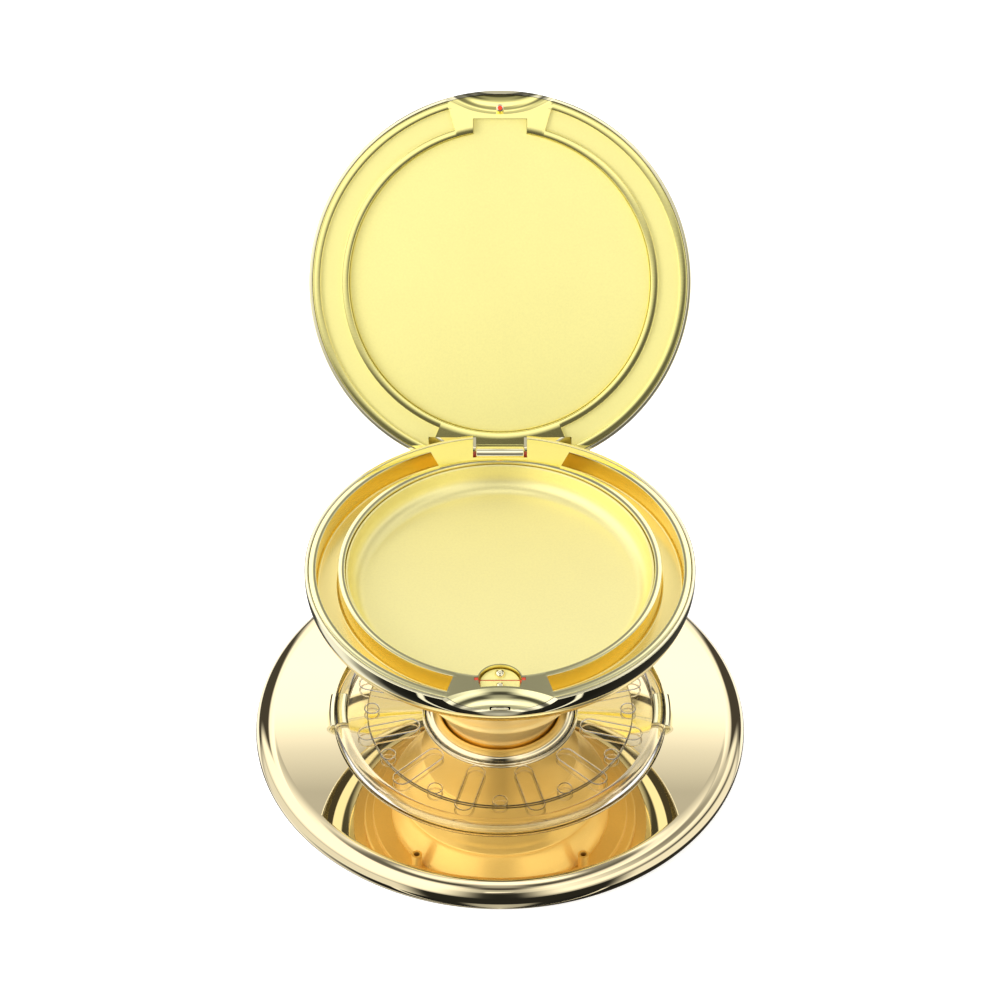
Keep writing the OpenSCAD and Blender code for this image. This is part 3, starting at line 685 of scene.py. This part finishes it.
class Collar(bpy.types.Operator):
    """Mirror ring round the neck, and the neck"""

    bl_idname = "compact.collar"
    bl_label = "Collar and neck"

    def execute(self, context):
        r, low, high, bead = COLLAR_R, DISC_TOP, COLLAR_TOP, 0.97
        ring = outline((NECK_R, low), (r, low, 0.1), (r, high, bead), (NECK_R, high, bead), fine=4)
        collar = lathe("collar", ring, 256)
        finish_piece(collar, "collar_bead", mirror_gold(), "stand", "collar_ring")
        finish_cad("neck_hub", finish("Neck", palette().bellows, 0.3))
        return {"FINISHED"}


class Bellows(bpy.types.Operator):
    """Folding sleeve of the stem, a smooth outline turned about the axis"""

    bl_idname = "compact.bellows"
    bl_label = "Bellows"

    def execute(self, context):
        s, low, high = sizes(), BELLOWS_LO[2], BELLOWS_HI[2]
        r0, r3 = 6.9, 12.4
        key = np.array([
            [r0, 0], [r0 + 0.25, 0.06], [r0 + 1.2, 0.17], [r0 + 2.3, 0.27], [r0 + 2.7, 0.31],
            [r0 + 2.6, 0.35], [r0 + 3.4, 0.46], [r3 - 1, 0.58], [r3 - 0.3, 0.635], [r3, 0.67],
            [r3 - 0.25, 0.7], [r3 - 0.2, 0.76], [r3 + 0.3, 0.88], [r3 + 0.75, 0.96], [r3 + 0.8, 1]])
        outer = smooth_curve(key * (1, high - low) + (0, low), 8)
        ahead = np.gradient(outer, axis=0)
        normal = np.stack([-ahead[:, 1], ahead[:, 0]], 1) / np.linalg.norm(ahead, axis=1)[:, None]
        inner = outer + normal * s["bellows_wall"]
        inner[[0, -1], 1] = outer[[0, -1], 1]
        inner[:, 1] = inner[:, 1].clip(low, high)
        piece = lathe("bellows_sleeve", np.concatenate([outer, inner[::-1]]), 256)
        material = finish("Bellows Gold", palette().bellows, 0.24, 0.4, (3000, 120, 0.08, 0.05), 1e-6)
        finish_piece(piece, "bellows_sleeve", material, "stand", "bellows", sharp=60)
        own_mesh(piece)
        return {"FINISHED"}


def smooth_curve(key, steps):
    """Catmull-Rom curve through the key points: each stretch is a cubic with the slopes of its neighbours."""
    p = np.concatenate([key[:1] * 2 - key[1:2], key, key[-1:] * 2 - key[-2:-1]])
    u = np.linspace(0, 1, steps, endpoint=False)[None, :, None]
    a, b, c, d = (p[i : len(p) - 3 + i][:, None] for i in range(4))
    curve = 0.5 * (2 * b + (c - a) * u + (2 * a - 5 * b + 4 * c - d) * u**2 + (3 * b - a - 3 * c + d) * u**3)
    return np.concatenate([curve.reshape(-1, 2), key[-1:]])


class TopPlate(bpy.types.Operator):
    """Plate on the bellows with its socket and four tubular bosses, and the bayonet plug"""

    bl_idname = "compact.top_plate"
    bl_label = "Top plate"

    def execute(self, context):
        low, high = PLATE_LO[2], PLATE_HI[2]
        step, under = high - 1.8, high - 1.2
        bore, room, socket, flange, rim = 4.2, 5.8, 7.0, 15.5, 16.6
        ring = outline((bore, high, 0.1), (bore, under), (room, under), (room, low + 0.6), (bore, low + 0.6),
                       (bore, low, 0.1), (socket, low, 0.3), (socket, step, 0.2), (flange, step, 0.15),
                       (flange, under, 0.1), (rim, under, 0.25), (rim, high, 0.25))
        plate = lathe("plate", ring, 256)
        end, root = step - 2.7, step + 0.1
        tube = outline((0.35, root), (0.35, end, 0.05), (0.65, end, 0.05), (0.65, root))
        turns, out = np.radians((45, 135, 225, 315)), 14.16
        bosses = [lathe("boss", tube, 40, (out * math.cos(t), out * math.sin(t))) for t in turns]
        cut(plate, *bosses, way="UNION")
        # The under gold's darker orange is painted shade under the compact
        finish_piece(plate, "top_plate_turned", shaded_under_gold(), "top", "top_plate")
        finish_cad("bayonet_plug", satin_gold())
        return {"FINISHED"}


class CompactBase(bpy.types.Operator):
    """Mirror shell of the compact with its thumb scoop, and the satin disc under it"""

    bl_idname = "compact.base_shell"
    bl_label = "Compact shell"

    def execute(self, context):
        s, z0, z1, r = sizes(), SHELL_LO[2], RIM_Z, BODY_R
        edge, curve = s["shell_edge"], s["shell_round"]
        inside = curve - SKIN
        ring = outline((SOCKET_R, z0 + SKIN), (SOCKET_R, z0 + 0.26), (BEARING_R, z0 + 0.26),
                       (BEARING_R, z0, 0.03), (r, z0, curve), (r, z1, 0.1), (r - edge, z1, 0.06),
                       (r - edge, z0 + SKIN, inside), fine=3)
        shell = lathe("shell", ring, 320)
        cut(shell, scoop_cutter(s, z1, -1), slot_cutter(), window_cutter(s))
        finish_piece(shell, "base_shell_skin", shell_gold(), "compact", "base_shell")
        rim, back = BEARING_R - 0.05, z0 + 0.25
        ring = outline((SOCKET_R, back, 0.03), (SOCKET_R, z0, 0.03), (rim, z0, 0.06), (rim, back, 0.03))
        bearing = lathe("bearing", ring, 256)
        # The under gold's darker orange is painted shade under the compact
        finish_piece(bearing, "bearing_disc_turned", shaded_under_gold(), "compact", "bearing_disc")
        return {"FINISHED"}


def slot_cutter():
    """Slot of the hinge knuckle."""
    half, front, floor = 3.2, HINGE_Y - 1.8, HINGE_Z - 2.1
    return block("slot", (-half, half), (front, front + 8), (floor, floor + 8))


def window_cutter(s):
    """Window of the catch button, behind the edge of the outer wall."""
    half, z = 1.17, RIM_Z - s["scoop_drop"]
    return block("window", (-half, half), (-BODY_R + 0.42, -BODY_R + 2.1), (z - 0.4, z + 0.12))


def pin_cutters():
    """Slots of the catch pin's square ends."""
    y, z = (PIN_Y - 0.425, PIN_Y + 0.025), (PIN_Z - 0.21, PIN_Z + 3)
    return [block("slot", x, y, z) for x in ((-2.933, -2.437), (2.437, 2.933))]


class Tray(bpy.types.Operator):
    """Satin tray with its polished rim and side channels, cut for the scoop, the catch and the hinge"""

    bl_idname = "compact.tray"
    bl_label = "Inner tray"

    def execute(self, context):
        s, z1, r, pan, plug = sizes(), RIM_Z, BODY_R - TRAY_GAP, 17.95, 6.05
        floor, low = PAN_LO[2], PAN_LO[2] - 0.5
        ci, co, depth = s["channel_in"], s["channel_out"], s["channel_depth"]
        ring = outline((0, floor), (0, floor - 0.1), (plug, floor - 0.1), (plug, low), (r, low, 2.2),
                       (r, z1, 0.08), (co, z1, 0.05), (co, z1 - depth, 0.3), (ci, z1 - depth, 0.3),
                       (ci, z1, 0.05), (pan, z1, 0.08), (pan, floor))
        tray = channelled("tray", ring, s, z1, depth)
        cut(tray, well_cutter(s, 2.6, z1 - 1.7, 1.7, 0.0), way="UNION")
        cut(tray, scoop_cutter(s, z1, -1), slot_cutter(), window_cutter(s),
            well_cutter(s, 2.45, z1 - 1.3, 5, 0.3))
        for slot in pin_cutters():
            cut(tray, slot)
        c = palette()
        # The darker, more orange channel colour is painted shade in the recessed channels below the polished
        # rim
        material = faced_gold("Tray Gold", (c.rim, c.channel_gold_and_shade), (0.035, 0.25), 1.0, z1, 1, scoop_numbers(s))
        finish_piece(tray, "base_tray_satin", material, "compact", "base_tray")
        return {"FINISHED"}


class Pan(bpy.types.Operator):
    """Powder pan with a rounded floor edge and a notch for the catch"""

    bl_idname = "compact.pan"
    bl_label = "Powder pan"

    def execute(self, context):
        s, z0, z1, r = sizes(), PAN_LO[2], PAN_HI[2], PAN_HI[0]
        wall = 0.3
        ring = outline((0, z0), (r, z0, 0.1), (r, z1, 0.1), (r - wall, z1, 0.12),
                       (r - wall, z0 + wall, s["pan_fillet"]), (0, z0 + wall), fine=5)
        pan = lathe("pan", ring, 288)
        cut(pan, well_cutter(s, 2.65, RIM_Z - 1.75, 5, 0.0))
        material = finish("Pan Gold", palette().pan, 0.36, 0.75, grain=(3800, 150, 0.10, 0.03), bump=1.5e-6)
        finish_piece(pan, "powder_pan_satin", material, "compact", "powder_pan")
        return {"FINISHED"}


class Catch(bpy.types.Operator):
    """Round catch with its two studs, the red pin, the leaf spring and the button in the scoop"""

    bl_idname = "compact.catch"
    bl_label = "Catch"

    def execute(self, context):
        s, top, r = sizes(), CATCH_TOP, CATCH_R
        ring = outline((0, top - 0.5), (r, top - 0.5), (r, top, 0.14), (0, top))
        disc = lathe("disc", ring, 96, (0, CATCH_Y))
        slit = block("slit", (-3, 3), (PIN_Y - 0.08, PIN_Y + 0.08), (top - 0.24, top + 1))
        pin_way = bar_x("pin_way", 0.23, 4, PIN_Y, top - 0.24, 0)
        cut(disc, scoop_front(s, 0.42, top - 2, top + 2), slit, pin_way)
        finish_piece(disc, "catch_disc_satin", satin_gold(), "catch", "catch_disc")
        self.stud("catch_stud_back", 0.6, -17.25)
        self.stud("catch_stud_front", 0.45, -19.1, scoop_front(s, 0.42, top - 2, top + 2))
        self.pin()
        finish_cad("catch_spring", finish("Spring Steel", palette().steel, 0.25))
        button = pill("button", (0, -BODY_R + 1.07, RIM_Z - s["scoop_drop"] - 0.15), (1.05, 0.55, 0.2))
        gold = polished_gold()
        finish_piece(button, "catch_button_pill", gold, "button", "catch_button", sharp=60)
        return {"FINISHED"}

    def stud(self, name, radius, y, front=None):
        """A ball stud: a quarter circle from the top of the disc up, turned about its own line."""
        ring = np.concatenate([[[0, CATCH_TOP]], ellipse_arc(0, CATCH_TOP, radius, radius, 0, 90, 14)])
        stud = lathe(name, ring, 48, (0, y))
        if front:
            cut(stud, front)
        finish_piece(stud, name, polished_gold(), "catch", "catch_studs")

    def pin(self):
        """The red pin: a bar with a fin in the slit of the disc, and square ends level with the rim."""
        pin = bar_x("pin", 0.2, 2.7, PIN_Y, PIN_Z, 0.02)
        fin = block("fin", (-2.5, 2.5), (PIN_Y - 0.045, PIN_Y + 0.045), (PIN_Z, RIM_Z - 0.46))
        y, z = (PIN_Y - 0.4, PIN_Y), (PIN_Z - 0.18, RIM_Z - 0.03)
        cut(pin, fin, *[block("end", x, y, z) for x in ((-2.905, -2.465), (2.465, 2.905))], way="UNION")
        finish_piece(pin, "catch_pin_bar", red_lacquer(), "compact", "catch_pin")


def pill(name, middle, half):
    """A box with full rounds: the half sizes times powers of the cosines and sines of two angles, a and b."""
    a, b = np.linspace(-math.pi, math.pi, 48, endpoint=False), np.linspace(-math.pi / 2, math.pi / 2, 25)
    a, b = np.meshgrid(a, b, indexing="ij")
    across, along = signed_power(np.cos(a), 0.35), signed_power(np.sin(a), 0.35)
    level, up = signed_power(np.cos(b), 0.5), signed_power(np.sin(b), 0.5)
    points = np.stack((across * level, along * level, up), 2) * half + middle
    return mesh_piece(name, points, grid_faces(*a.shape, True, False))


def signed_power(value, exponent):
    """A power of the size of a value, with the sign of the value."""
    return np.sign(value) * np.abs(value) ** exponent


class Hinge(bpy.types.Operator):
    """Hinge pin, and the knuckle with its arm, which turn with the lid"""

    bl_idname = "compact.hinge"
    bl_label = "Hinge"

    def execute(self, context):
        pin = bar_x("pin", 0.5, 5, HINGE_Y, HINGE_Z, 0.1)
        finish_piece(pin, "hinge_pin_bar", red_lacquer(), "compact", "hinge_pin")
        half, round_leaf = LEAF_HALF, 1.1
        leaf = bar_x("leaf", round_leaf, half, HINGE_Y, HINGE_Z, 0.12, 96)
        arm = block("arm", (-half, half), (HINGE_Y - round_leaf, HINGE_Y - 0.2), (HINGE_Z, CLOSED_RIM + SKIN))
        cut(leaf, arm, way="UNION")
        cut(leaf, bar_x("bore", 0.53, half + 1, HINGE_Y, HINGE_Z, 0))
        place(leaf, lid_matrix())
        finish_piece(leaf, "hinge_leaf_polished", polished_gold(), "lid", "hinge_leaf")
        return {"FINISHED"}


def lid_cutters(s):
    """The lid's scoop and the room it leaves for the base round the tongue of the hinge leaf."""
    cheeks = block("cheeks", (-8.5, 8.5), (18.45, BODY_R + 1), (CLOSED_RIM - 1, CLOSED_RIM + 2.6))
    tongue = block("tongue", (-LEAF_HALF, LEAF_HALF), (0, HINGE_Y + 0.1), (CLOSED_RIM - 2, CLOSED_RIM + 6))
    return [scoop_cutter(s, CLOSED_RIM, 1), cut(cheeks, tongue)]


class LidShell(bpy.types.Operator):
    """Mirror shell of the lid with its domed edge"""

    bl_idname = "compact.lid_shell"
    bl_label = "Lid shell"

    def execute(self, context):
        s, r, z0 = sizes(), BODY_R, CLOSED_RIM
        top, dome, edge = z0 + s["lid_height"], s["lid_dome"], s["shell_edge"]
        ring = outline((r - edge, z0, 0.06), (r, z0, 0.1), (r, top, dome), (0, top), (0, top - SKIN),
                       (r - edge, top - SKIN, dome - SKIN + edge), fine=3)
        shell = lathe("lid", ring, 320)
        cut(shell, *lid_cutters(s))
        place(shell, lid_matrix())
        finish_piece(shell, "lid_shell_skin", shell_gold(), "lid", "lid_shell")
        return {"FINISHED"}


class LidFrame(bpy.types.Operator):
    """Satin frame of the lid with its channels and recess, and the mirror seat with its tab"""

    bl_idname = "compact.lid_frame"
    bl_label = "Lid frame and mirror seat"

    def execute(self, context):
        s, r, z0, seat = sizes(), BODY_R - TRAY_GAP, CLOSED_RIM, SEAT_R
        ci, co, depth = s["channel_in"], s["channel_out"], s["lid_channel_depth"]
        back, roof, roof_r = z0 + 1.5, z0 + 2.3, 21.73
        ring = outline((0, back), (seat, back), (seat, z0, 0.1), (ci, z0, 0.04), (ci, z0 + depth, 0.08),
                       (co, z0 + depth, 0.08), (co, z0, 0.04), (r, z0, 0.08), (r, z0 + 0.95),
                       (roof_r, roof, 0.1), (0, roof))
        body = channelled("frame", ring, s, z0, depth)
        tab = block("tab", (-3.2, 3.2), (-19.35, 0), (z0 - 1, back))
        leaf = block("leaf", (-2.9, 2.9), (HINGE_Y - 1.15, HINGE_Y - 0.15), (z0 - 1, z0 + 0.85))
        cut(body, tab, leaf, *lid_cutters(s))
        place(body, lid_matrix())
        satin, scoop, closed = palette().satin, scoop_numbers(s), lid_matrix().inverted()
        material = faced_gold("Lid Frame Gold", (satin, satin), (0.05, 0.34), 0.5, z0, -1, scoop, closed)
        finish_piece(body, "lid_frame_satin", material, "lid", "lid_frame")
        face, edge = z0 + 0.9, seat - 0.05
        disc = lathe("seat", outline((0, back), (0, face), (edge, face, 0.15), (edge, back)), 288)
        cut(disc, block("tab", (-3.15, 3.15), (-19.3, 0), (face, back)), way="UNION")
        place(disc, lid_matrix())
        finish_piece(disc, "mirror_seat_satin", satin_gold(), "lid", "mirror_seat")
        return {"FINISHED"}


class LidHook(bpy.types.Operator):
    """Peg in the lid's scoop that goes into the catch, and its red foot"""

    bl_idname = "compact.lid_hook"
    bl_label = "Lid hook"

    def execute(self, context):
        arc, centre, _ = scoop_numbers(sizes())
        end, foot_end = CLOSED_RIM - 0.3, CLOSED_RIM - 0.5
        y = centre + arc - 0.75
        peg = outline((0, end), (0.45, end, 0.05), (0.45, CLOSED_RIM + 0.62), (0, CLOSED_RIM + 0.62))
        foot = outline((0, foot_end), (0.28, foot_end, 0.06), (0.28, end), (0, end))
        for name, ring, material, node, slot in (
            ("lid_hook_peg", peg, polished_gold(), "lid_hook", "polished_gold"),
            ("hook_foot", foot, red_lacquer(), "hook_tip", "red_pin"),
        ):
            piece = lathe(name, ring, 48, (0, y))
            place(piece, lid_matrix())
            finish_piece(piece, name, material, "lid", node)
        return {"FINISHED"}


# ---------- stage ----------


# Brightness of the surround by height over the horizon, in degrees: behind the object, in front of it, at its
# sides, and in a band under the horizon
OPEN_BACK = (
    (-12, 0.02), (-3, 0.5), (8, 1.05), (30, 1.15), (40, 1.2), (43, 1.35), (44.7, 1.4), (46.4, 0.5), (55, 0.6),
    (62, 1.3), (68, 0.4), (78, 0.4), (84, 1.4))
CURTAIN = (
    (-12, 0.02), (-3, 0.5), (8, 1.2), (30, 1.2), (39, 0.7), (43, 0.27), (56, 0.24), (62, 1.3), (68, 0.4),
    (78, 0.4), (84, 1.4))
OPEN_FRONT = (
    (-12, 0.0), (-3, 0.03), (4, 0.9), (12, 1.2), (50, 1.35), (58, 0.8), (62, 0.05), (72, 0.05), (78, 0.5),
    (84, 1.4))
DARK_FRONT = (
    (-12, 0.0), (0, 0.02), (24, 0.02), (30, 0.06), (36, 0.5), (48, 0.5), (54, 0.08), (60, 0.06), (66, 0.35),
    (72, 0.4), (80, 0.7), (86, 1.4))
LEFT = (
    (-12, 0.02), (-4, 0.1), (0, 0.9), (10, 1.25), (55, 1.25), (60, 0.15), (68, 0.12), (75, 1.2), (90, 1.4))
RIGHT = (
    (-12, 0.02), (4, 0.06), (11, 0.9), (22, 1.1), (30, 0.3), (44, 0.25), (50, 1.15), (60, 1.0), (66, 0.12),
    (72, 0.2), (80, 1.4))
GLOW = ((-42, 0.02), (-38, 1.1), (-18, 1.1), (-14, 0.02))

# Brightness under the horizon by the way round, in degrees: 0 behind the object, -90 at its left, 180 in front
SKIRT = (
    (-180, 0.02), (-150, 0.02), (-136, 0.8), (-62, 0.8), (-48, 0.02), (48, 0.02), (62, 0.9), (120, 0.9),
    (136, 0.02), (180, 0.02))
BELOW = (
    (-180, 0.5), (-170, 0.4), (-160, 0.02), (-135, 0.01), (-133.5, 1.0), (-131, 1.0), (-129.5, 0.01),
    (-108, 0.02), (-92, 0.25), (-70, 0.9), (-50, 0.9), (-38, 0.06), (-15, 0.08), (0, 0.6), (15, 0.06),
    (95, 0.02), (129.5, 0.01), (131, 1.0), (133.5, 1.0), (135, 0.01), (160, 0.02), (170, 0.4), (180, 0.5))


class Stage(bpy.types.Operator):
    """Pale floor, soft studio surround and the camera"""

    bl_idname = "compact.stage"
    bl_label = "Stage"

    def execute(self, context):
        scene = context.scene
        self.surround(scene)
        self.ground()
        self.lamps(scene)
        camera = bpy.data.cameras.new("camera")
        camera.lens, camera.sensor_width = 201.6, 36.0
        camera.clip_start, camera.clip_end = 0.05, 20.0
        scene.camera = stand(scene, "camera", camera, (0, -0.46905, 0.47531), (math.radians(47.04), 0, 0))
        scene.view_settings.view_transform = "Standard"
        return {"FINISHED"}

    def surround(self, scene):
        """The world by direction: cards and curtains that the gold mirrors, and plain to the camera."""
        world = scene.world = bpy.data.worlds.new("Studio")
        world.use_nodes = True
        w = Wiring(world.node_tree)
        x, y, z = w.split(w.nodes.new("ShaderNodeTexCoord").outputs["Generated"])
        height = w.math("MULTIPLY_ADD", w.math("ARCSINE", z), 1 / math.pi, 0.5)
        turn = w.math("MULTIPLY_ADD", w.math("ARCTAN2", x, y), 0.5 / math.pi, 0.5)
        aside = w.math("ABSOLUTE", w.math("MULTIPLY_ADD", turn, 360.0, -180.0))
        upper = self.upper(w, x, y, z, height, aside)
        under = self.under(w, z, height, turn, aside)
        above = w.math("MULTIPLY_ADD", z, 8.0, 0.9)
        above.node.use_clamp = True
        flag = w.product(w.share(aside, 18.0, 25.0), w.share(aside, 54.0, 46.0), w.share(z, 0.62, 0.52),
                         w.share(z, -0.3, -0.26))
        studio = w.mix(flag, w.mix(above, under, upper), (0.06, 0.055, 0.05, 1))
        seen = w.nodes.new("ShaderNodeLightPath").outputs["Is Camera Ray"]
        back = w.nodes["Background"].inputs
        w.feed(back["Color"], w.mix(seen, studio, grey(0.95)))
        w.feed(back["Strength"], 1.05)

    def upper(self, w, x, y, z, height, aside):
        """Over the horizon: the ends, behind and in front, and the flanks, mixed by how far round they lie."""
        parts = (OPEN_BACK, CURTAIN, OPEN_FRONT, DARK_FRONT, LEFT, RIGHT)
        open_back, curtain, open_front, dark_front, left, right = (w.ramp(height, -90, 90, k) for k in parts)
        behind = w.mix(w.share(aside, 0.6, 3.1), curtain, open_back)
        front = w.mix(w.share(aside, 150.0, 174.0), open_front, dark_front)
        lean = w.math("MULTIPLY_ADD", x, -0.32, z)
        card = w.mix(w.share(lean, 0.56, 0.614), grey(0.12), grey(1.15))
        on_card = w.product(w.share(aside, 172.0, 175.0), w.share(z, 0.52, 0.54), w.share(z, 0.66, 0.64))
        front = w.mix(on_card, front, card)
        ends = w.mix(w.math("GREATER_THAN", y, 0.0), front, behind)
        flanks = w.mix(w.math("GREATER_THAN", x, 0.0), left, right)
        along = w.product(y, y)
        along = w.math("DIVIDE", along, w.math("ADD", w.product(x, x), along))
        return w.mix(along, flanks, ends)

    def under(self, w, z, height, turn, aside):
        """Under the horizon: a skirt, with a glow behind the object on both sides, and the ground below it."""
        sides = w.product(w.share(aside, 12.0, 18.0), w.share(aside, 56.0, 48.0))
        skirt = w.mix(sides, w.ramp(turn, -180, 180, SKIRT), w.ramp(height, -90, 90, GLOW))
        return w.mix(w.share(z, -0.6, -0.65), skirt, w.ramp(turn, -180, 180, BELOW))

    def ground(self):
        """The floor: plain, pale and a little bright of itself, and out of the mirrors' sight."""
        half, z = 3000, -0.05
        corner = [[-half, -half, z], [half, -half, z], [half, half, z], [-half, half, z]]
        floor = mesh_piece("studio_floor", corner, [[0, 1, 2, 3]])
        plain = finish("Studio Floor", palette().floor, 0.9, 0.0, (8, 2, 0.0, 0.01))
        shader = plain.node_tree.nodes["Principled BSDF"].inputs
        shader["Emission Color"].default_value = (1, 1, 1, 1)
        shader["Emission Strength"].default_value = 0.6
        shader["Specular IOR Level"].default_value = 0.0
        floor.data.materials.append(plain)
        floor.visible_glossy = floor.visible_transmission = False

    def lamps(self, scene):
        """Two soft lamps for the satin, from the upper left and from in front, out of the mirrors' sight."""
        for spot, power in (((-0.9, -0.55, 0.7), 10.5), ((0.1, -1.2, 0.15), 4.0)):
            lamp = bpy.data.lights.new("soft_lamp", "AREA")
            lamp.shape, lamp.size, lamp.energy = "DISK", 0.8, power
            aim = (-Vector(spot)).to_track_quat("-Z", "Y").to_euler()
            holder = stand(scene, "soft_lamp", lamp, spot, aim)
            holder.visible_glossy = holder.visible_transmission = False


def stand(scene, name, data, place_at, turn):
    """A lamp or camera put into the scene at a place and a turn."""
    holder = bpy.data.objects.new(name, data)
    scene.collection.objects.link(holder)
    holder.location, holder.rotation_euler = place_at, turn
    return holder


class CompactPanel(bpy.types.Panel):
    """Lists the pieces of the compact"""

    bl_idname = "VIEW3D_PT_compact"
    bl_label = "Powder compact"
    bl_space_type = "VIEW_3D"
    bl_region_type = "UI"
    bl_category = "Compact"

    def draw(self, context):
        for group in (context.scene.compact_sizes, context.scene.compact_colours):
            box = self.layout.box()
            for name in type(group).__annotations__:
                box.prop(group, name)
        for piece in PIECES:
            self.layout.operator(piece.bl_idname)


PIECES = (Stage, BaseDisc, Platform, Collar, Bellows, TopPlate, CompactBase, Tray, Pan, Catch, Hinge, LidShell,
          LidFrame, LidHook)
CLASSES = (CompactSizes, CompactColours, *PIECES, CompactPanel)


def register():
    """Registers the classes and hangs the sizes and colours on the scene."""
    for each in CLASSES:
        bpy.utils.register_class(each)
    bpy.types.Scene.compact_sizes = PointerProperty(type=CompactSizes)
    bpy.types.Scene.compact_colours = PointerProperty(type=CompactColours)


def unregister():
    """Takes the sizes and colours and the classes away again."""
    del bpy.types.Scene.compact_sizes
    del bpy.types.Scene.compact_colours
    for each in reversed(CLASSES):
        bpy.utils.unregister_class(each)


def main():
    """Registers the add-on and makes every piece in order."""
    register()
    for piece in PIECES:
        group, action = piece.bl_idname.split(".")
        getattr(getattr(bpy.ops, group), action)()


if __name__ == "__main__":
    main()
